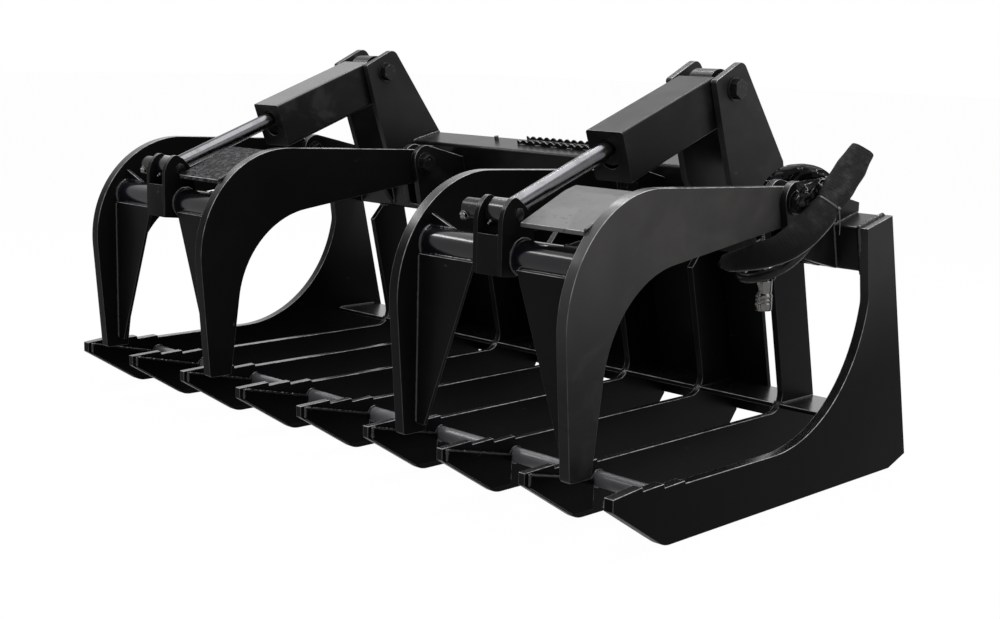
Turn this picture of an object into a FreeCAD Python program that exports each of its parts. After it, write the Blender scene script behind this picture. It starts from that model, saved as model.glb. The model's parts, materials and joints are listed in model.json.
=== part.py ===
import FreeCAD, Part
import Sketcher
import math
import os
import re

# Root grapple with two hydraulic clamps, in millimetres. +X is the tool's right side seen from its
# front, -Y is the front, +Z is up. The origin is on the ground below the middle of the tool.
#
# Places in an outline are (y, z): y from the heel where a tine's sloped tip meets its flat bottom, z
# from the ground. The back of the tool leans forward, so places on it are (v, u): v forward of the
# rear plane, u up along it from its foot. place() carries both into the tool's own frame.

SIZES = {
    # Tines and side plates
    "tine_gap": 228.6,
    "tine_thick": 16,
    "side_thick": 22,
    "heel_ahead": 369.19,
    "heel_round": 60,
    "tip_reach": 156,
    "tip_low": 98,
    "tip_high": 123,
    "tine_top": 108,
    "notch_at": 58,
    "notch_pitch": 64,
    "notch_deep": 8,
    "notch_last": 5.5,
    "notch_rise": 2,
    "notch_run": 3,
    "flat_end": 817,
    "rear_foot": 885,
    "foot_rise": 23,
    "lean": 13.1,
    "leg_front": 145,
    "leg_rear": 24,
    "leg_round": 40,
    "leg_shoulder": 30,
    "side_top": 113,
    "side_bow_y": 616,
    "side_bow_round": 334,
    "side_bend_y": 680,
    "side_bend_z": 397,
    "side_bend_round": 60,
    # Welded tooth plates and the tubes that tie the tips together
    "tooth_thick": 9,
    "tooth_start": 146,
    "tooth_end": 38,
    "tooth_top": 119,
    "tooth_fall": 43,
    "tooth_low": 14,
    "tip_tube_y": 58,
    "tip_tube_z": 73,
    "tip_tube_round": 16.7,
    "tip_tube_wall": 3.4,
    # Lower shelf and the carrier's mounting plate
    "shelf_front": 163,
    "shelf_top": 127,
    "shelf_thick": 10,
    "mount_half": 565,
    "mount_thick": 12,
    "mount_low": 44,
    "hook_run": 36,
    "hook_bend": 8,
    "ledge_run": 58,
    "slot_half_gap": 413,
    "slot_long": 76,
    "slot_wide": 32,
    # Square tubes across the back
    "beam": 101.6,
    "beam_wall": 6.4,
    "beam_corner": 9,
    "beam_bend_inside": 3,
    "beam_top": 573,
    "gusset_wide": 80,
    "gusset_deep": 40,
    "gusset_thick": 10,
    # Clamp hinge and its ears
    "clamp_x": 571.5,
    "pivot_y": 500,
    "pivot_z": 615,
    "pivot_bolt": 12.7,
    "bush_wall": 6.3,
    "running_gap": 0.06,
    "ear_thick": 16,
    "ear_gap": 1.5,
    "ear_round": 45,
    "ear_front": 486,
    "ear_low": 517,
    "ear_foot_round": 12,
    "ear_back_drop": 21,
    # Clamp arms
    "arm_thick": 25,
    "arm_up": 33,
    "arm_top_fall": 2.3,
    "arm_down": 50,
    "arm_tail": 38,
    "arm_out_y": -207,
    "arm_bend_out": 250,
    "arm_in_y": -52,
    "arm_in_z": 490,
    "arm_bend_in": 231,
    "arm_tip_z": 129,
    "arm_tip_front": -161,
    "arm_tip_back": -100,
    # Clamp cross tube, lugs and plates
    "cross_y": -90,
    "cross_z": 523,
    "cross_round": 35,
    "cross_wall": 6,
    "lug_out": 39,
    "lug_thick": 11,
    "lug_ahead": 45,
    "lug_behind": 43,
    "lug_over": 36,
    "lug_foot": 490,
    "lug_web": 6,
    "front_plate_thick": 8,
    "front_plate_top": 504,
    "front_plate_low": 150,
    "front_plate_wide": 158,
    "front_plate_narrow": 24,
    "top_plate_thick": 8,
    "top_plate_front": -118,
    "top_plate_low": 594,
    "top_plate_bend": 7,
    "top_plate_round": 12,
    "top_plate_high": 650,
    "top_plate_lip": 30,
    "top_plate_lip_rise": 8,
    "rod_slot_half": 56,
    "corner_leg": 72,
    # Cylinder pins
    "pin_y": -104,
    "pin_z": 607,
    "pin": 12.7,
    "pin_collar": 21,
    "pin_collar_long": 60,
    "base_y": 528,
    "base_z": 843,
    # Cylinder
    "rod": 19,
    "rod_eye": 28,
    "rod_eye_wide": 54,
    "bore": 31.75,
    "barrel": 36.5,
    "gland_at": 321,
    "gland_long": 40,
    "piston_long": 32,
    "piston_stub": 12,
    "piston_nut_long": 20,
    "stroke": 203.2,
    "stroke_spare": 3,
    "cap_long": 25,
    "base_eye": 42,
    "base_eye_wide": 60,
    "base_eye_play": 17,
    "port": 13,
    "port_long": 18,
    # Cylinder cover
    "cover_half": 50,
    "cover_wall": 3,
    "cover_tall": 112,
    "cover_over": 40.5,
    "cover_long": 320,
    "cover_slot": 24,
    "cover_slot_drop": 20,
    # Towers
    "tower_gap": 53,
    "tower_thick": 16,
    "tower_ahead": 67,
    "tower_brow": 17,
    "tower_behind": 29,
    "tower_over": 63,
    "tower_throat_y": 505,
    "tower_throat_z": 726,
    "tower_knee_y": 538,
    "tower_knee_z": 634,
    "tower_foot": 480,
    "tower_top_round": 24,
    "tower_rear_high": 805,
    "tower_rear_thick": 10,
    # Fasteners
    "bolt_head": 22,
    "bolt_head_long": 16,
    "washer": 26,
    "washer_thick": 4,
    "nut_long": 20,
    # Step grip on the upper tube
    "grip_left": -150,
    "grip_long": 262,
    "grip_teeth": 11,
    "grip_wall": 3,
    "grip_deep": 40,
    "grip_tall": 13,
    "grip_tooth": 7,
    "grip_back": 14,
    "stud_x": -245,
    "stud": 6,
    "stud_long": 12,
    # Hoses
    "hose": 11,
    "sleeve_play": 0.3,
    "sleeve": 24,
    "coupler": 19,
    "coupler_waist": 17,
    "coupler_long": 65,
    "coupler_drop": 170,
    "coupler_neck": 8,
    "coupler_mouth": 9,
    "ferrule": 14,
    "ferrule_long": 46,
    "ferrule_nut_long": 16,
    "hose_port_x": 700,
    "hose_port_gap": 38,
    "hose_port": 518.5,
    "hose_nut": 17,
    "hose_nut_long": 36,
    "hose_start": 55,
}

CORNER = 30
TINES = 7

doc = FreeCAD.newDocument("root_grapple")
dims = doc.addObject("Spreadsheet::Sheet", "dims")
for row, (word, value) in enumerate(SIZES.items(), start=1):
    dims.set(f"A{row}", word)
    dims.set(f"B{row}", str(value))
    dims.setAlias(f"B{row}", word)
doc.recompute()


def ex(text):
    """The expression with each size's word pointed at its cell in the sheet."""
    def named(match):
        word = match.group(0)
        return "dims." + word if word in SIZES else word

    return re.sub(r"[a-z_]+", named, str(text))


def number(text):
    """The value of an expression, for the sketches' first guess."""
    value = dims.evalExpression(ex(text))
    return float(getattr(value, "Value", value))


def back(v, u):
    """The (y, z) of a point on the leaning back, v forward of its rear plane and u up along it."""
    return f"rear_foot - ({u})*sin(lean) - ({v})*cos(lean)", f"foot_rise + ({u})*cos(lean) - ({v})*sin(lean)"


def back_at(v, z):
    """The y of the leaning line v forward of the rear plane, at height z."""
    return f"rear_foot - ({z} - foot_rise)*tan(lean) - ({v})/cos(lean)"


def place(thing, x="0", y="0", z="0", turn="0"):
    """Sets the sub-part at x, y, z, turned about X; y counts from the heel."""
    spot = f"create(<<vector>>; {x}; {y} - heel_ahead; {z})"
    turned_by = f"create(<<rotation>>; create(<<vector>>; 1; 0; 0); {turn})"
    thing.setExpression("Placement", ex(f"create(<<placement>>; {spot}; {turned_by})"))
    return thing


def place_on_back(thing, x="0"):
    """Sets the sub-part on the leaning back: its y is -v and its z is u."""
    return place(thing, x, "rear_foot", "foot_rise", "lean")


CYLINDER_LEAN = "atan2(base_z - pin_z; base_y - pin_y)"
CYLINDER_LONG = "sqrt((base_y - pin_y)^2 + (base_z - pin_z)^2)"


def place_on_cylinder(thing, x):
    """Sets the sub-part on the cylinder's axis, y counted from the rod pin towards the base pin."""
    return place(thing, x, "pin_y", "pin_z", CYLINDER_LEAN)


def new_body(name):
    body = doc.addObject("PartDesign::Body", name)
    body.Label = name
    return body


def sketch_on(body, role):
    """A sketch on one of the body's own origin planes."""
    plane = [feature for feature in body.Origin.OriginFeatures if feature.Role == role][0]
    sketch = body.newObject("Sketcher::SketchObject", body.Name + "_sketch")
    sketch.AttachmentSupport = (plane, [""])
    sketch.MapMode = "FlatFace"
    return sketch


def set_point(sketch, geometry, end, spot, across, up):
    """Dimensions one point of a sketch from the origin, or puts it on an axis where it is 0."""
    for kind, axis, text, value in (("DistanceX", -2, across, spot.x), ("DistanceY", -1, up, spot.y)):
        if str(text) == "0":
            sketch.addConstraint(Sketcher.Constraint("PointOnObject", geometry, end, axis))
        else:
            index = sketch.addConstraint(Sketcher.Constraint(kind, -1, 1, geometry, end, value))
            sketch.setExpression(f"Constraints[{index}]", ex(text))


def outline(sketch, corners):
    """Closes a loop of lines through the corners; a corner with a third value is rounded by it."""
    spots = [FreeCAD.Vector(number(c[0]), number(c[1]), 0) for c in corners]
    rounds = [number(c[2]) if len(c) > 2 else 0 for c in corners]
    count = len(corners)
    arrive, leave, centre = [], [], []
    for i, spot in enumerate(spots):
        to_last = (spots[i - 1] - spot).normalize()
        to_next = (spots[(i + 1) % count] - spot).normalize()
        half = to_last.getAngle(to_next) / 2
        run = rounds[i] / math.tan(half)
        bisector = (to_last + to_next).normalize() if rounds[i] else to_last
        arrive.append(spot + to_last * run)
        leave.append(spot + to_next * run)
        centre.append(spot + bisector * (rounds[i] / math.sin(half)))
    first = sketch.GeometryCount
    for i in range(count):
        sketch.addGeometry(Part.LineSegment(leave[i], arrive[(i + 1) % count]))
    for i in range(count):
        line_in, line_out = first + (i - 1) % count, first + i
        if not rounds[i]:
            sketch.addConstraint(Sketcher.Constraint("Coincident", line_in, 2, line_out, 1))
            set_point(sketch, line_out, 1, spots[i], corners[i][0], corners[i][1])
            continue
        here, there = arrive[i] - centre[i], leave[i] - centre[i]
        start, end = (1, 2) if here.cross(there).z > 0 else (2, 1)
        angles = [math.atan2(edge.y, edge.x) for edge in (here, there)]
        ring = Part.Circle(centre[i], FreeCAD.Vector(0, 0, 1), rounds[i])
        arc = sketch.addGeometry(Part.ArcOfCircle(ring, *(angles if start == 1 else angles[::-1])))
        corner = sketch.addGeometry(Part.Point(spots[i]), True)
        set_point(sketch, corner, 1, spots[i], corners[i][0], corners[i][1])
        sketch.addConstraint(Sketcher.Constraint("PointOnObject", corner, 1, line_in))
        sketch.addConstraint(Sketcher.Constraint("PointOnObject", corner, 1, line_out))
        sketch.addConstraint(Sketcher.Constraint("Tangent", line_in, 2, arc, start))
        sketch.addConstraint(Sketcher.Constraint("Tangent", arc, end, line_out, 1))
        index = sketch.addConstraint(Sketcher.Constraint("Radius", arc, rounds[i]))
        sketch.setExpression(f"Constraints[{index}]", ex(corners[i][2]))


def circle(sketch, across, up, radius):
    """A dimensioned circle."""
    spot = FreeCAD.Vector(number(across), number(up), 0)
    ring = sketch.addGeometry(Part.Circle(spot, FreeCAD.Vector(0, 0, 1), number(radius)))
    set_point(sketch, ring, 3, spot, across, up)
    index = sketch.addConstraint(Sketcher.Constraint("Radius", ring, number(radius)))
    sketch.setExpression(f"Constraints[{index}]", ex(radius))


def pad(body, sketch, length, both_ways=False):
    """Thickens a sketch along its normal, or evenly to both sides."""
    feature = body.newObject("PartDesign::Pad", body.Name + "_pad")
    feature.Profile = sketch
    feature.Midplane = both_ways
    feature.setExpression("Length", ex(length))
    return feature


def cut_through(body, sketch, length, both_ways=True):
    """Cuts a sketch out of the body, evenly to both sides of its plane."""
    feature = body.newObject("PartDesign::Pocket", body.Name + "_cut")
    feature.Profile = sketch
    feature.Midplane = both_ways
    feature.setExpression("Length", ex(length))
    return feature


def plate(name, corners, thick, holes=(), role="YZ_Plane", both_ways=False):
    """A flat piece cut to an outline, with round holes."""
    body = new_body(name)
    sketch = sketch_on(body, role)
    outline(sketch, corners)
    for hole in holes:
        circle(sketch, *hole)
    pad(body, sketch, thick, both_ways)
    return body


def turned(name, corners, along):
    """A round piece turned from half its section; along is the axis it is turned about."""
    body = new_body(name)
    sketch = sketch_on(body, "XY_Plane")
    outline(sketch, corners)
    feature = body.newObject("PartDesign::Revolution", name + "_turn")
    feature.Profile = sketch
    feature.ReferenceAxis = (sketch, ["H_Axis" if along == "X" else "V_Axis"])
    feature.Angle = 360
    return body


def tube(name, radius, wall, length):
    """A round tube along X."""
    body = new_body(name)
    sketch = sketch_on(body, "YZ_Plane")
    circle(sketch, "0", "0", radius)
    circle(sketch, "0", "0", f"({radius}) - ({wall})")
    pad(body, sketch, length)
    return body


def group(name, pieces):
    """Several separate pieces that share one node."""
    compound = doc.addObject("Part::Compound", name)
    compound.Label = name
    compound.Links = pieces
    return compound


# The bottom of a tine runs from the sloped tip over the heel to the flat.
TINE_FOOT = [
    ("flat_end", "0"),
    ("0", "0", "heel_round"),
    ("-tip_reach", "tip_low"),
    ("-tip_reach", "tip_high"),
]
SIDE_FACE = "(4*tine_gap)"
BEAM_FLOOR = "(beam_top - beam)"
NOTCHES = 3


def notched_top(top):
    """The saw-toothed run behind a tip, from its front down to the flat top at the height top."""
    corners, low = [], str(top)
    for k in range(NOTCHES):
        at = f"notch_at - {k}*notch_pitch"
        high = f"{low} + {'notch_deep' if k else 'notch_last'}"
        corners += [(at, low), (f"{at} - notch_run", high)]
        low = f"{high} - notch_rise"
    return corners[::-1]


def side_plate(name, x):
    """An end plate: a tine with a deep bow up to a wide leg that closes the ends of the beam."""
    corners = TINE_FOOT + [
        *notched_top("side_top"),
        ("side_bow_y", "side_top", "side_bow_round"),
        ("side_bend_y", "side_bend_z", "side_bend_round"),
        back("beam", "beam_top"),
        back("0", "beam_top"),
        ("rear_foot", "foot_rise"),
    ]
    return place(plate(name, corners, "side_thick"), x)


def tine(name, x):
    """An inner tine with an upright leg that ends under the beam."""
    corners = TINE_FOOT + [
        *notched_top("tine_top"),
        (back_at("leg_front", "tine_top"), "tine_top", "leg_round"),
        back("leg_front", f"{BEAM_FLOOR} - leg_shoulder"),
        back("beam", BEAM_FLOOR),
        back("leg_rear", BEAM_FLOOR),
        (back_at("leg_rear", "2*foot_rise"), "2*foot_rise"),
    ]
    return place(plate(name, corners, "tine_thick"), f"{x} - tine_thick/2")


def tooth_plate(name, x):
    """The wear plate that is welded on the side of a tine's tip, with its top edge sloped down."""
    bottom_y = "(-tip_reach*tooth_low/tip_low)"
    low_front = "(tip_low*tooth_start/tip_reach + 2)"
    corners = [
        ("-tooth_start", low_front),
        ("-tooth_start", "tooth_top"),
        ("tooth_end", "tooth_top - tooth_fall"),
        ("tooth_end", "tooth_low"),
        (bottom_y, "tooth_low + 2"),
    ]
    return place(plate(name, corners, "tooth_thick"), x)


def tine_x(k):
    return f"({k}*tine_gap)"


def bay(k):
    """The x where the bay right of tine k starts, and its width; -4 and 4 are the side plates."""
    start = f"(-{SIDE_FACE} + side_thick)" if k == -4 else f"({tine_x(k)} + tine_thick/2)"
    stop = f"({SIDE_FACE} - side_thick)" if k == 3 else f"({tine_x(k + 1)} - tine_thick/2)"
    return start, f"({stop} - {start})"


def shelf_plate(name, k):
    """One bay of the shelf behind the tines' inner corners, from their legs' front to their rear."""
    start, wide = bay(k)
    low = "shelf_top - shelf_thick"
    corners = [
        (back_at("shelf_front", "shelf_top"), "shelf_top"),
        (back_at("leg_rear", "shelf_top"), "shelf_top"),
        (back_at("leg_rear", low), low),
        (back_at("shelf_front", "shelf_top"), low),
    ]
    return place(plate(name, corners, wide), start)


def mount_plate():
    """The plate that a carrier hooks on: a hook lip at its top, a slotted ledge at its foot."""
    face = "(leg_rear - mount_thick)"
    lip = "hook_run*0.7071"
    slim = "mount_thick*0.7071"
    top = BEAM_FLOOR
    corners = [
        ("-leg_rear", top),
        ("-leg_rear", "mount_low - mount_thick"),
        (f"ledge_run - {face}", "mount_low - mount_thick"),
        (f"ledge_run - {face}", "mount_low"),
        (f"-{face}", "mount_low"),
        (f"-{face}", f"{top} - 2*{slim}", "hook_bend"),
        (f"{lip} - {face} - {slim}", f"{top} - {lip} - {slim}"),
        (f"{lip} - {face}", f"{top} - {lip}"),
        (f"-{face}", top),
    ]
    body = plate("mount_plate", corners, "2*mount_half")
    sketch = sketch_on(body, "XY_Plane")
    for side in (-1, 1):
        left = f"mount_half + {side}*slot_half_gap - slot_long/2"
        right = f"mount_half + {side}*slot_half_gap + slot_long/2"
        front = f"ledge_run/2 - {face} - slot_wide/2"
        rear = f"ledge_run/2 - {face} + slot_wide/2"
        bend = "slot_wide/2 - 1"
        outline(sketch, [(left, front, bend), (right, front, bend), (right, rear, bend), (left, rear, bend)])
    cut_through(body, sketch, "3*mount_low")
    return place_on_back(body, "-mount_half")


def square_tube(name, half_long, low):
    """A square tube across the back, with rounded corners, flush with the rear plane."""
    body = new_body(name)
    sketch = sketch_on(body, "YZ_Plane")
    for inset, near, bend in (("0", "0", "beam_corner"), ("beam_wall", "-beam_wall", "beam_bend_inside")):
        far = f"-beam + {inset}"
        floor, roof = f"{low} + {inset}", f"{low} + beam - {inset}"
        outline(sketch, [(near, floor, bend), (near, roof, bend), (far, roof, bend), (far, floor, bend)])
    pad(body, sketch, f"2*({half_long})")
    return place_on_back(body, f"-({half_long})")


TOWER_TOP = ("base_y + tower_behind", "base_z + tower_over")


def tower_ear(name, x):
    """One cheek of a tower: it holds the cylinder's base pin and straddles both square tubes."""
    corners = [
        ("base_y - tower_ahead", "base_z + tower_brow", 8),
        TOWER_TOP + ("tower_top_round",),
        back("0", "beam_top + beam"),
        back("0", "beam_top"),
        back("beam", "beam_top"),
        back("beam", "tower_foot"),
        ("tower_knee_y", "tower_knee_z"),
        ("tower_throat_y", "tower_throat_z"),
    ]
    return place(plate(name, corners, "tower_thick", [("base_y", "base_z", "pin")]), x)


def tower_rear_plate(name, x):
    """The plate that closes a tower's back between its cheeks, above the upper tube's line."""
    top_y, top_z = back("0", "beam_top + beam")
    rise = f"(({TOWER_TOP[1]} - ({top_z}))/({top_y} - ({TOWER_TOP[0]})))"
    lean_cos = f"cos(atan({rise}))"
    high_y = f"({top_y} - (tower_rear_high - ({top_z}))/{rise})"
    drop = f"(tower_rear_thick/{lean_cos})"
    corners = [
        (top_y, top_z),
        (high_y, "tower_rear_high"),
        (high_y, f"tower_rear_high - {drop}"),
        (top_y, f"{top_z} - {drop}"),
    ]
    return place(plate(name, corners, "2*tower_gap"), f"{x} - tower_gap")


def tower_gusset(name, side):
    """A corner plate flush with the upper tube's top, between its end and a tower."""
    reach = "(clamp_x - tower_gap - tower_thick)"
    corners = [
        (f"{side}*{reach}", "-beam"),
        (f"{side}*{reach}", "-beam - gusset_deep"),
        (f"{side}*({reach} - gusset_wide)", "-beam"),
    ]
    body = new_body(name)
    sketch = sketch_on(body, "XY_Plane")
    outline(sketch, corners)
    pad(body, sketch, "gusset_thick")
    top = "beam_top + beam - beam_corner - gusset_thick"
    y, z = back("0", top)
    return place(body, "0", y, z, "lean")


def pivot_ear(name, x):
    """One ear of a clamp hinge, welded to the beam's front and over its top."""
    top_y, top_z = back("0", "beam_top")
    corners = [
        ("pivot_y - ear_round", "pivot_z + ear_round", "ear_round - 5"),
        ("pivot_y + 10", "pivot_z + ear_round"),
        (top_y, f"{top_z} + ear_back_drop"),
        (top_y, top_z),
        back("beam", "beam_top"),
        back("beam", f"{BEAM_FLOOR} + 2"),
        ("ear_front + 5", "ear_low - 10", "ear_foot_round"),
        ("ear_front - 8", "pivot_z - ear_round"),
    ]
    return place(plate(name, corners, "ear_thick", [("pivot_y", "pivot_z", "pivot_bolt")]), x)


def inner_pivot_ear(name, x):
    """An ear between the towers, cut off at the upper tube's front."""
    high_y, high_z = back("beam", "beam_top + 70")
    corners = [
        ("pivot_y - ear_round", "pivot_z + ear_round", "ear_round - 5"),
        ("pivot_y + 10", "pivot_z + ear_round"),
        (high_y, high_z),
        back("beam", f"{BEAM_FLOOR} + 2"),
        ("ear_front + 5", "ear_low - 10", "ear_foot_round"),
        ("ear_front - 8", "pivot_z - ear_round"),
    ]
    return place(plate(name, corners, "ear_thick", [("pivot_y", "pivot_z", "pivot_bolt")]), x)


def arm(name, x):
    """A clamp arm: a tapered beam from its hinge that bends down to a blunt tip."""
    out_z = "(pivot_z + arm_up + (pivot_y - arm_out_y)*tan(arm_top_fall))"
    tail = "(pivot_y + arm_tail)"
    corners = [
        (tail, "pivot_z + arm_up - arm_tail*tan(arm_top_fall)", "arm_up - 2"),
        ("arm_out_y", out_z, "arm_bend_out"),
        ("arm_tip_front", "arm_tip_z", 8),
        ("arm_tip_back", "arm_tip_z"),
        ("arm_in_y", "arm_in_z", "arm_bend_in"),
        (tail, "pivot_z - arm_down + 4", "arm_down - 6"),
    ]
    hole = ("pivot_y", "pivot_z", "pivot_bolt + running_gap + bush_wall")
    return place(plate(name, corners, "arm_thick", [hole]), x)


def bush(name, x):
    """The sleeve that an arm turns on; it stands a little proud of the arm."""
    proud = "(ear_gap - 0.5)"
    piece = tube(name, "(pivot_bolt + running_gap + bush_wall)", "bush_wall", f"arm_thick + 2*{proud}")
    return place(piece, f"{x} - {proud}", "pivot_y", "pivot_z")


def lug(name, x):
    """One of the two plates that hold the rod pin; it stands on the cross tube and reaches down in front."""
    front = "(pin_y - lug_ahead)"
    rear = "(pin_y + lug_behind)"
    corners = [
        (front, "lug_foot"),
        (front, "pin_z - 5"),
        ("pin_y - 34", "pin_z + 19"),
        ("pin_y - 12", "pin_z + lug_over"),
        ("pin_y + 22", "pin_z + 13"),
        (rear, "pin_z - 22"),
        (rear, "cross_z"),
        ("cross_y - cross_round/2", "cross_z - cross_round - 2"),
    ]
    body = plate(name, corners, "lug_thick", [("pin_y", "pin_z", "pin")])
    sketch = sketch_on(body, "YZ_Plane")
    circle(sketch, "cross_y", "cross_z", "cross_round")
    cut_through(body, sketch, "3*lug_thick")
    return place(body, x)


def lug_web(name, x):
    """The plate that closes the front between two lugs, below the rod's eye."""
    front, back = "(pin_y - lug_ahead)", "(pin_y - lug_ahead + lug_web)"
    top = "(pin_z - rod_eye - lug_thick)"
    corners = [(front, "lug_foot"), (front, top), (back, top), (back, "lug_foot")]
    return place(plate(name, corners, "2*(lug_out - lug_thick)"), x)


def front_plate(name, x, side):
    """A tapered stiffener between the cross tube and the tip, along the inside of an arm."""
    corners = [
        ("0", "front_plate_top"),
        (f"-{side}*front_plate_wide", "front_plate_top"),
        (f"-{side}*front_plate_narrow", "front_plate_low"),
        ("0", "front_plate_low"),
    ]
    body = new_body(name)
    sketch = sketch_on(body, "XZ_Plane")
    outline(sketch, corners)
    pad(body, sketch, "front_plate_thick")
    back = "cross_y - sqrt(cross_round^2 - (cross_z - front_plate_top)^2)"
    return place(body, x, back)


def corner_gusset(name, x, side):
    """A triangle that ties an arm to the top of the cross tube."""
    base = "cross_z + cross_round - 2"
    corners = [("0", base), (f"-{side}*corner_leg", base), ("0", "top_plate_low - top_plate_thick - 2")]
    body = new_body(name)
    sketch = sketch_on(body, "XZ_Plane")
    outline(sketch, corners)
    pad(body, sketch, "front_plate_thick", True)
    cut = sketch_on(body, "YZ_Plane")
    circle(cut, "0", "cross_z", "cross_round")
    cut_through(body, cut, "3*corner_leg")
    return place(body, x, "cross_y")


def top_plate(name, x, wide):
    """The bent plate behind the lugs, right of the rod, which ties the inner arm to its cylinder's side."""
    slope = "atan2(top_plate_high - top_plate_low; top_plate_bend - top_plate_front)"
    lip_y = "(top_plate_bend + top_plate_lip)"
    lip_z = "(top_plate_high + top_plate_lip_rise)"
    under = f"top_plate_thick/cos({slope})"
    corners = [
        ("top_plate_front", "top_plate_low"),
        ("top_plate_bend", "top_plate_high", "top_plate_round"),
        (lip_y, lip_z),
        (lip_y, f"{lip_z} - top_plate_thick"),
        ("top_plate_bend + 1", f"top_plate_high - {under} + 1", 4),
        ("top_plate_front", f"top_plate_low - {under}"),
    ]
    return place(plate(name, corners, wide), x)


def hex_corners(radius):
    """The six corners of a hexagon about the origin."""
    return [(f"{radius}*cos({60 * k + CORNER})", f"{radius}*sin({60 * k + CORNER})") for k in range(6)]


def bolt(name, x, y, z, long, side=1):
    """A hexagon-headed bolt along X; its shank starts at x and its head is at the other end."""
    body = new_body(name)
    shank = sketch_on(body, "YZ_Plane")
    circle(shank, "0", "0", "pivot_bolt")
    pad(body, shank, f"{long} + washer_thick")
    head = sketch_on(body, "YZ_Plane")
    out = f"{long} + washer_thick"
    head.AttachmentOffset = FreeCAD.Placement(FreeCAD.Vector(0, 0, number(out)), FreeCAD.Rotation())
    head.setExpression("AttachmentOffset.Base.z", ex(out))
    outline(head, hex_corners("bolt_head"))
    pad(body, head, "bolt_head_long")
    return place(body, x, y, z)


def washer(name, x, y, z):
    return place(tube(name, "washer", "washer - pivot_bolt", "washer_thick"), x, y, z)


def nut(name, x, y, z):
    """A hexagon nut with a round collar on its outer side, seen from the left."""
    body = new_body(name)
    hexagon = sketch_on(body, "YZ_Plane")
    outline(hexagon, hex_corners("bolt_head"))
    circle(hexagon, "0", "0", "pivot_bolt")
    pad(body, hexagon, "nut_long")
    return place(body, x, y, z)


def rod(name, x):
    """The piston rod with the eye that hangs on the rod pin."""
    piston_at = "(gland_at + gland_long + stroke_spare)"
    end = f"({piston_at} + piston_long + piston_nut_long)"
    corners = [("0", "rod_eye - 4"), ("rod", "rod_eye - 4"), ("rod", piston_at), ("piston_stub", piston_at),
               ("piston_stub", end), ("0", end)]
    body = turned(name, corners, "Y")
    eye = sketch_on(body, "YZ_Plane")
    circle(eye, "0", "0", "rod_eye")
    pad(body, eye, "rod_eye_wide", True)
    hole = sketch_on(body, "YZ_Plane")
    circle(hole, "0", "0", "pin + running_gap")
    cut_through(body, hole, "2*rod_eye_wide")
    return place_on_cylinder(body, x)


def piston(name, x):
    """The piston, with a ring groove, on the rod's stub."""
    near = "(gland_at + gland_long + stroke_spare)"
    far = f"({near} + piston_long)"
    outer = "(bore - running_gap)"
    groove = f"({outer} - 3)"
    corners = [("piston_stub", near), (outer, near), (outer, f"{near} + 10"), (groove, f"{near} + 10"),
               (groove, f"{near} + 18"), (outer, f"{near} + 18"), (outer, far), ("piston_stub", far)]
    return place_on_cylinder(turned(name, corners, "Y"), x)


def gland(name, x):
    """The rod's guide in the barrel's mouth, with a flange outside it."""
    near, mouth = "gland_at", "(gland_at + 8)"
    far = "(gland_at + gland_long)"
    inner = "(rod + running_gap)"
    corners = [(inner, near), ("barrel", near), ("barrel", mouth), ("bore", mouth),
               ("bore", far), (inner, far)]
    return place_on_cylinder(turned(name, corners, "Y"), x)


def barrel(name, x):
    """The cylinder's tube with its end cap, base eye and two ports."""
    mouth = "(gland_at + 8)"
    cap = "(gland_at + gland_long + stroke_spare + piston_long + piston_nut_long + stroke + stroke_spare)"
    end = f"({cap} + cap_long)"
    corners = [("bore", mouth), ("barrel", mouth), ("barrel", end), ("0", end), ("0", cap), ("bore", cap)]
    body = turned(name, corners, "Y")
    eye = sketch_on(body, "YZ_Plane")
    circle(eye, CYLINDER_LONG, "0", "base_eye")
    pad(body, eye, "base_eye_wide", True)
    ports = sketch_on(body, "XY_Plane")
    for at in (f"{mouth} + gland_long + 12", f"{cap} - 16"):
        circle(ports, "0", at, "port")
    feature = pad(body, ports, "barrel + port_long")
    feature.Reversed = True
    inside = sketch_on(body, "XZ_Plane")
    inside.AttachmentOffset = FreeCAD.Placement(FreeCAD.Vector(0, 0, -number(cap)), FreeCAD.Rotation())
    inside.setExpression("AttachmentOffset.Base.z", ex(f"-{cap}"))
    circle(inside, "0", "0", "bore")
    clear = body.newObject("PartDesign::Pocket", name + "_bore")
    clear.Profile = inside
    clear.Reversed = True
    clear.setExpression("Length", ex(f"{cap} - {mouth}"))
    hole = sketch_on(body, "YZ_Plane")
    circle(hole, CYLINDER_LONG, "0", "pin + base_eye_play")
    cut_through(body, hole, "2*base_eye_wide")
    return place_on_cylinder(body, x)


def box_corners(half, low, high, bend):
    """The corners of a box's section about the middle, each with its bend."""
    return [(f"-{half}", low, bend), (half, low, bend), (half, high, bend), (f"-{half}", high, bend)]


def cover(name, x):
    """The folded steel box round a cylinder, closed at the rod's end by a slotted plate."""
    roof, floor = "cover_over", "(cover_over - cover_tall)"
    body = new_body(name)
    box = sketch_on(body, "XZ_Plane")
    sides = (("0", 6), ("cover_wall", 4))
    for inset, bend in sides:
        half, low, high = f"(cover_half - {inset})", f"({floor} + {inset})", f"({roof} - {inset})"
        outline(box, box_corners(half, low, high, bend))
    walls = pad(body, box, "cover_long")
    walls.Reversed = True
    face = sketch_on(body, "XZ_Plane")
    outline(face, box_corners("cover_half", floor, roof, 6))
    wide = "(cover_slot - 0.5)"
    deep = "-cover_slot - cover_slot_drop"
    outline(face, box_corners("cover_slot", deep, "cover_slot", wide))
    front = pad(body, face, "cover_wall")
    front.Reversed = True
    y = f"pin_y + (gland_at - cover_wall)*cos({CYLINDER_LEAN})"
    z = f"pin_z + (gland_at - cover_wall)*sin({CYLINDER_LEAN})"
    return place(body, x, y, z, CYLINDER_LEAN)


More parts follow.
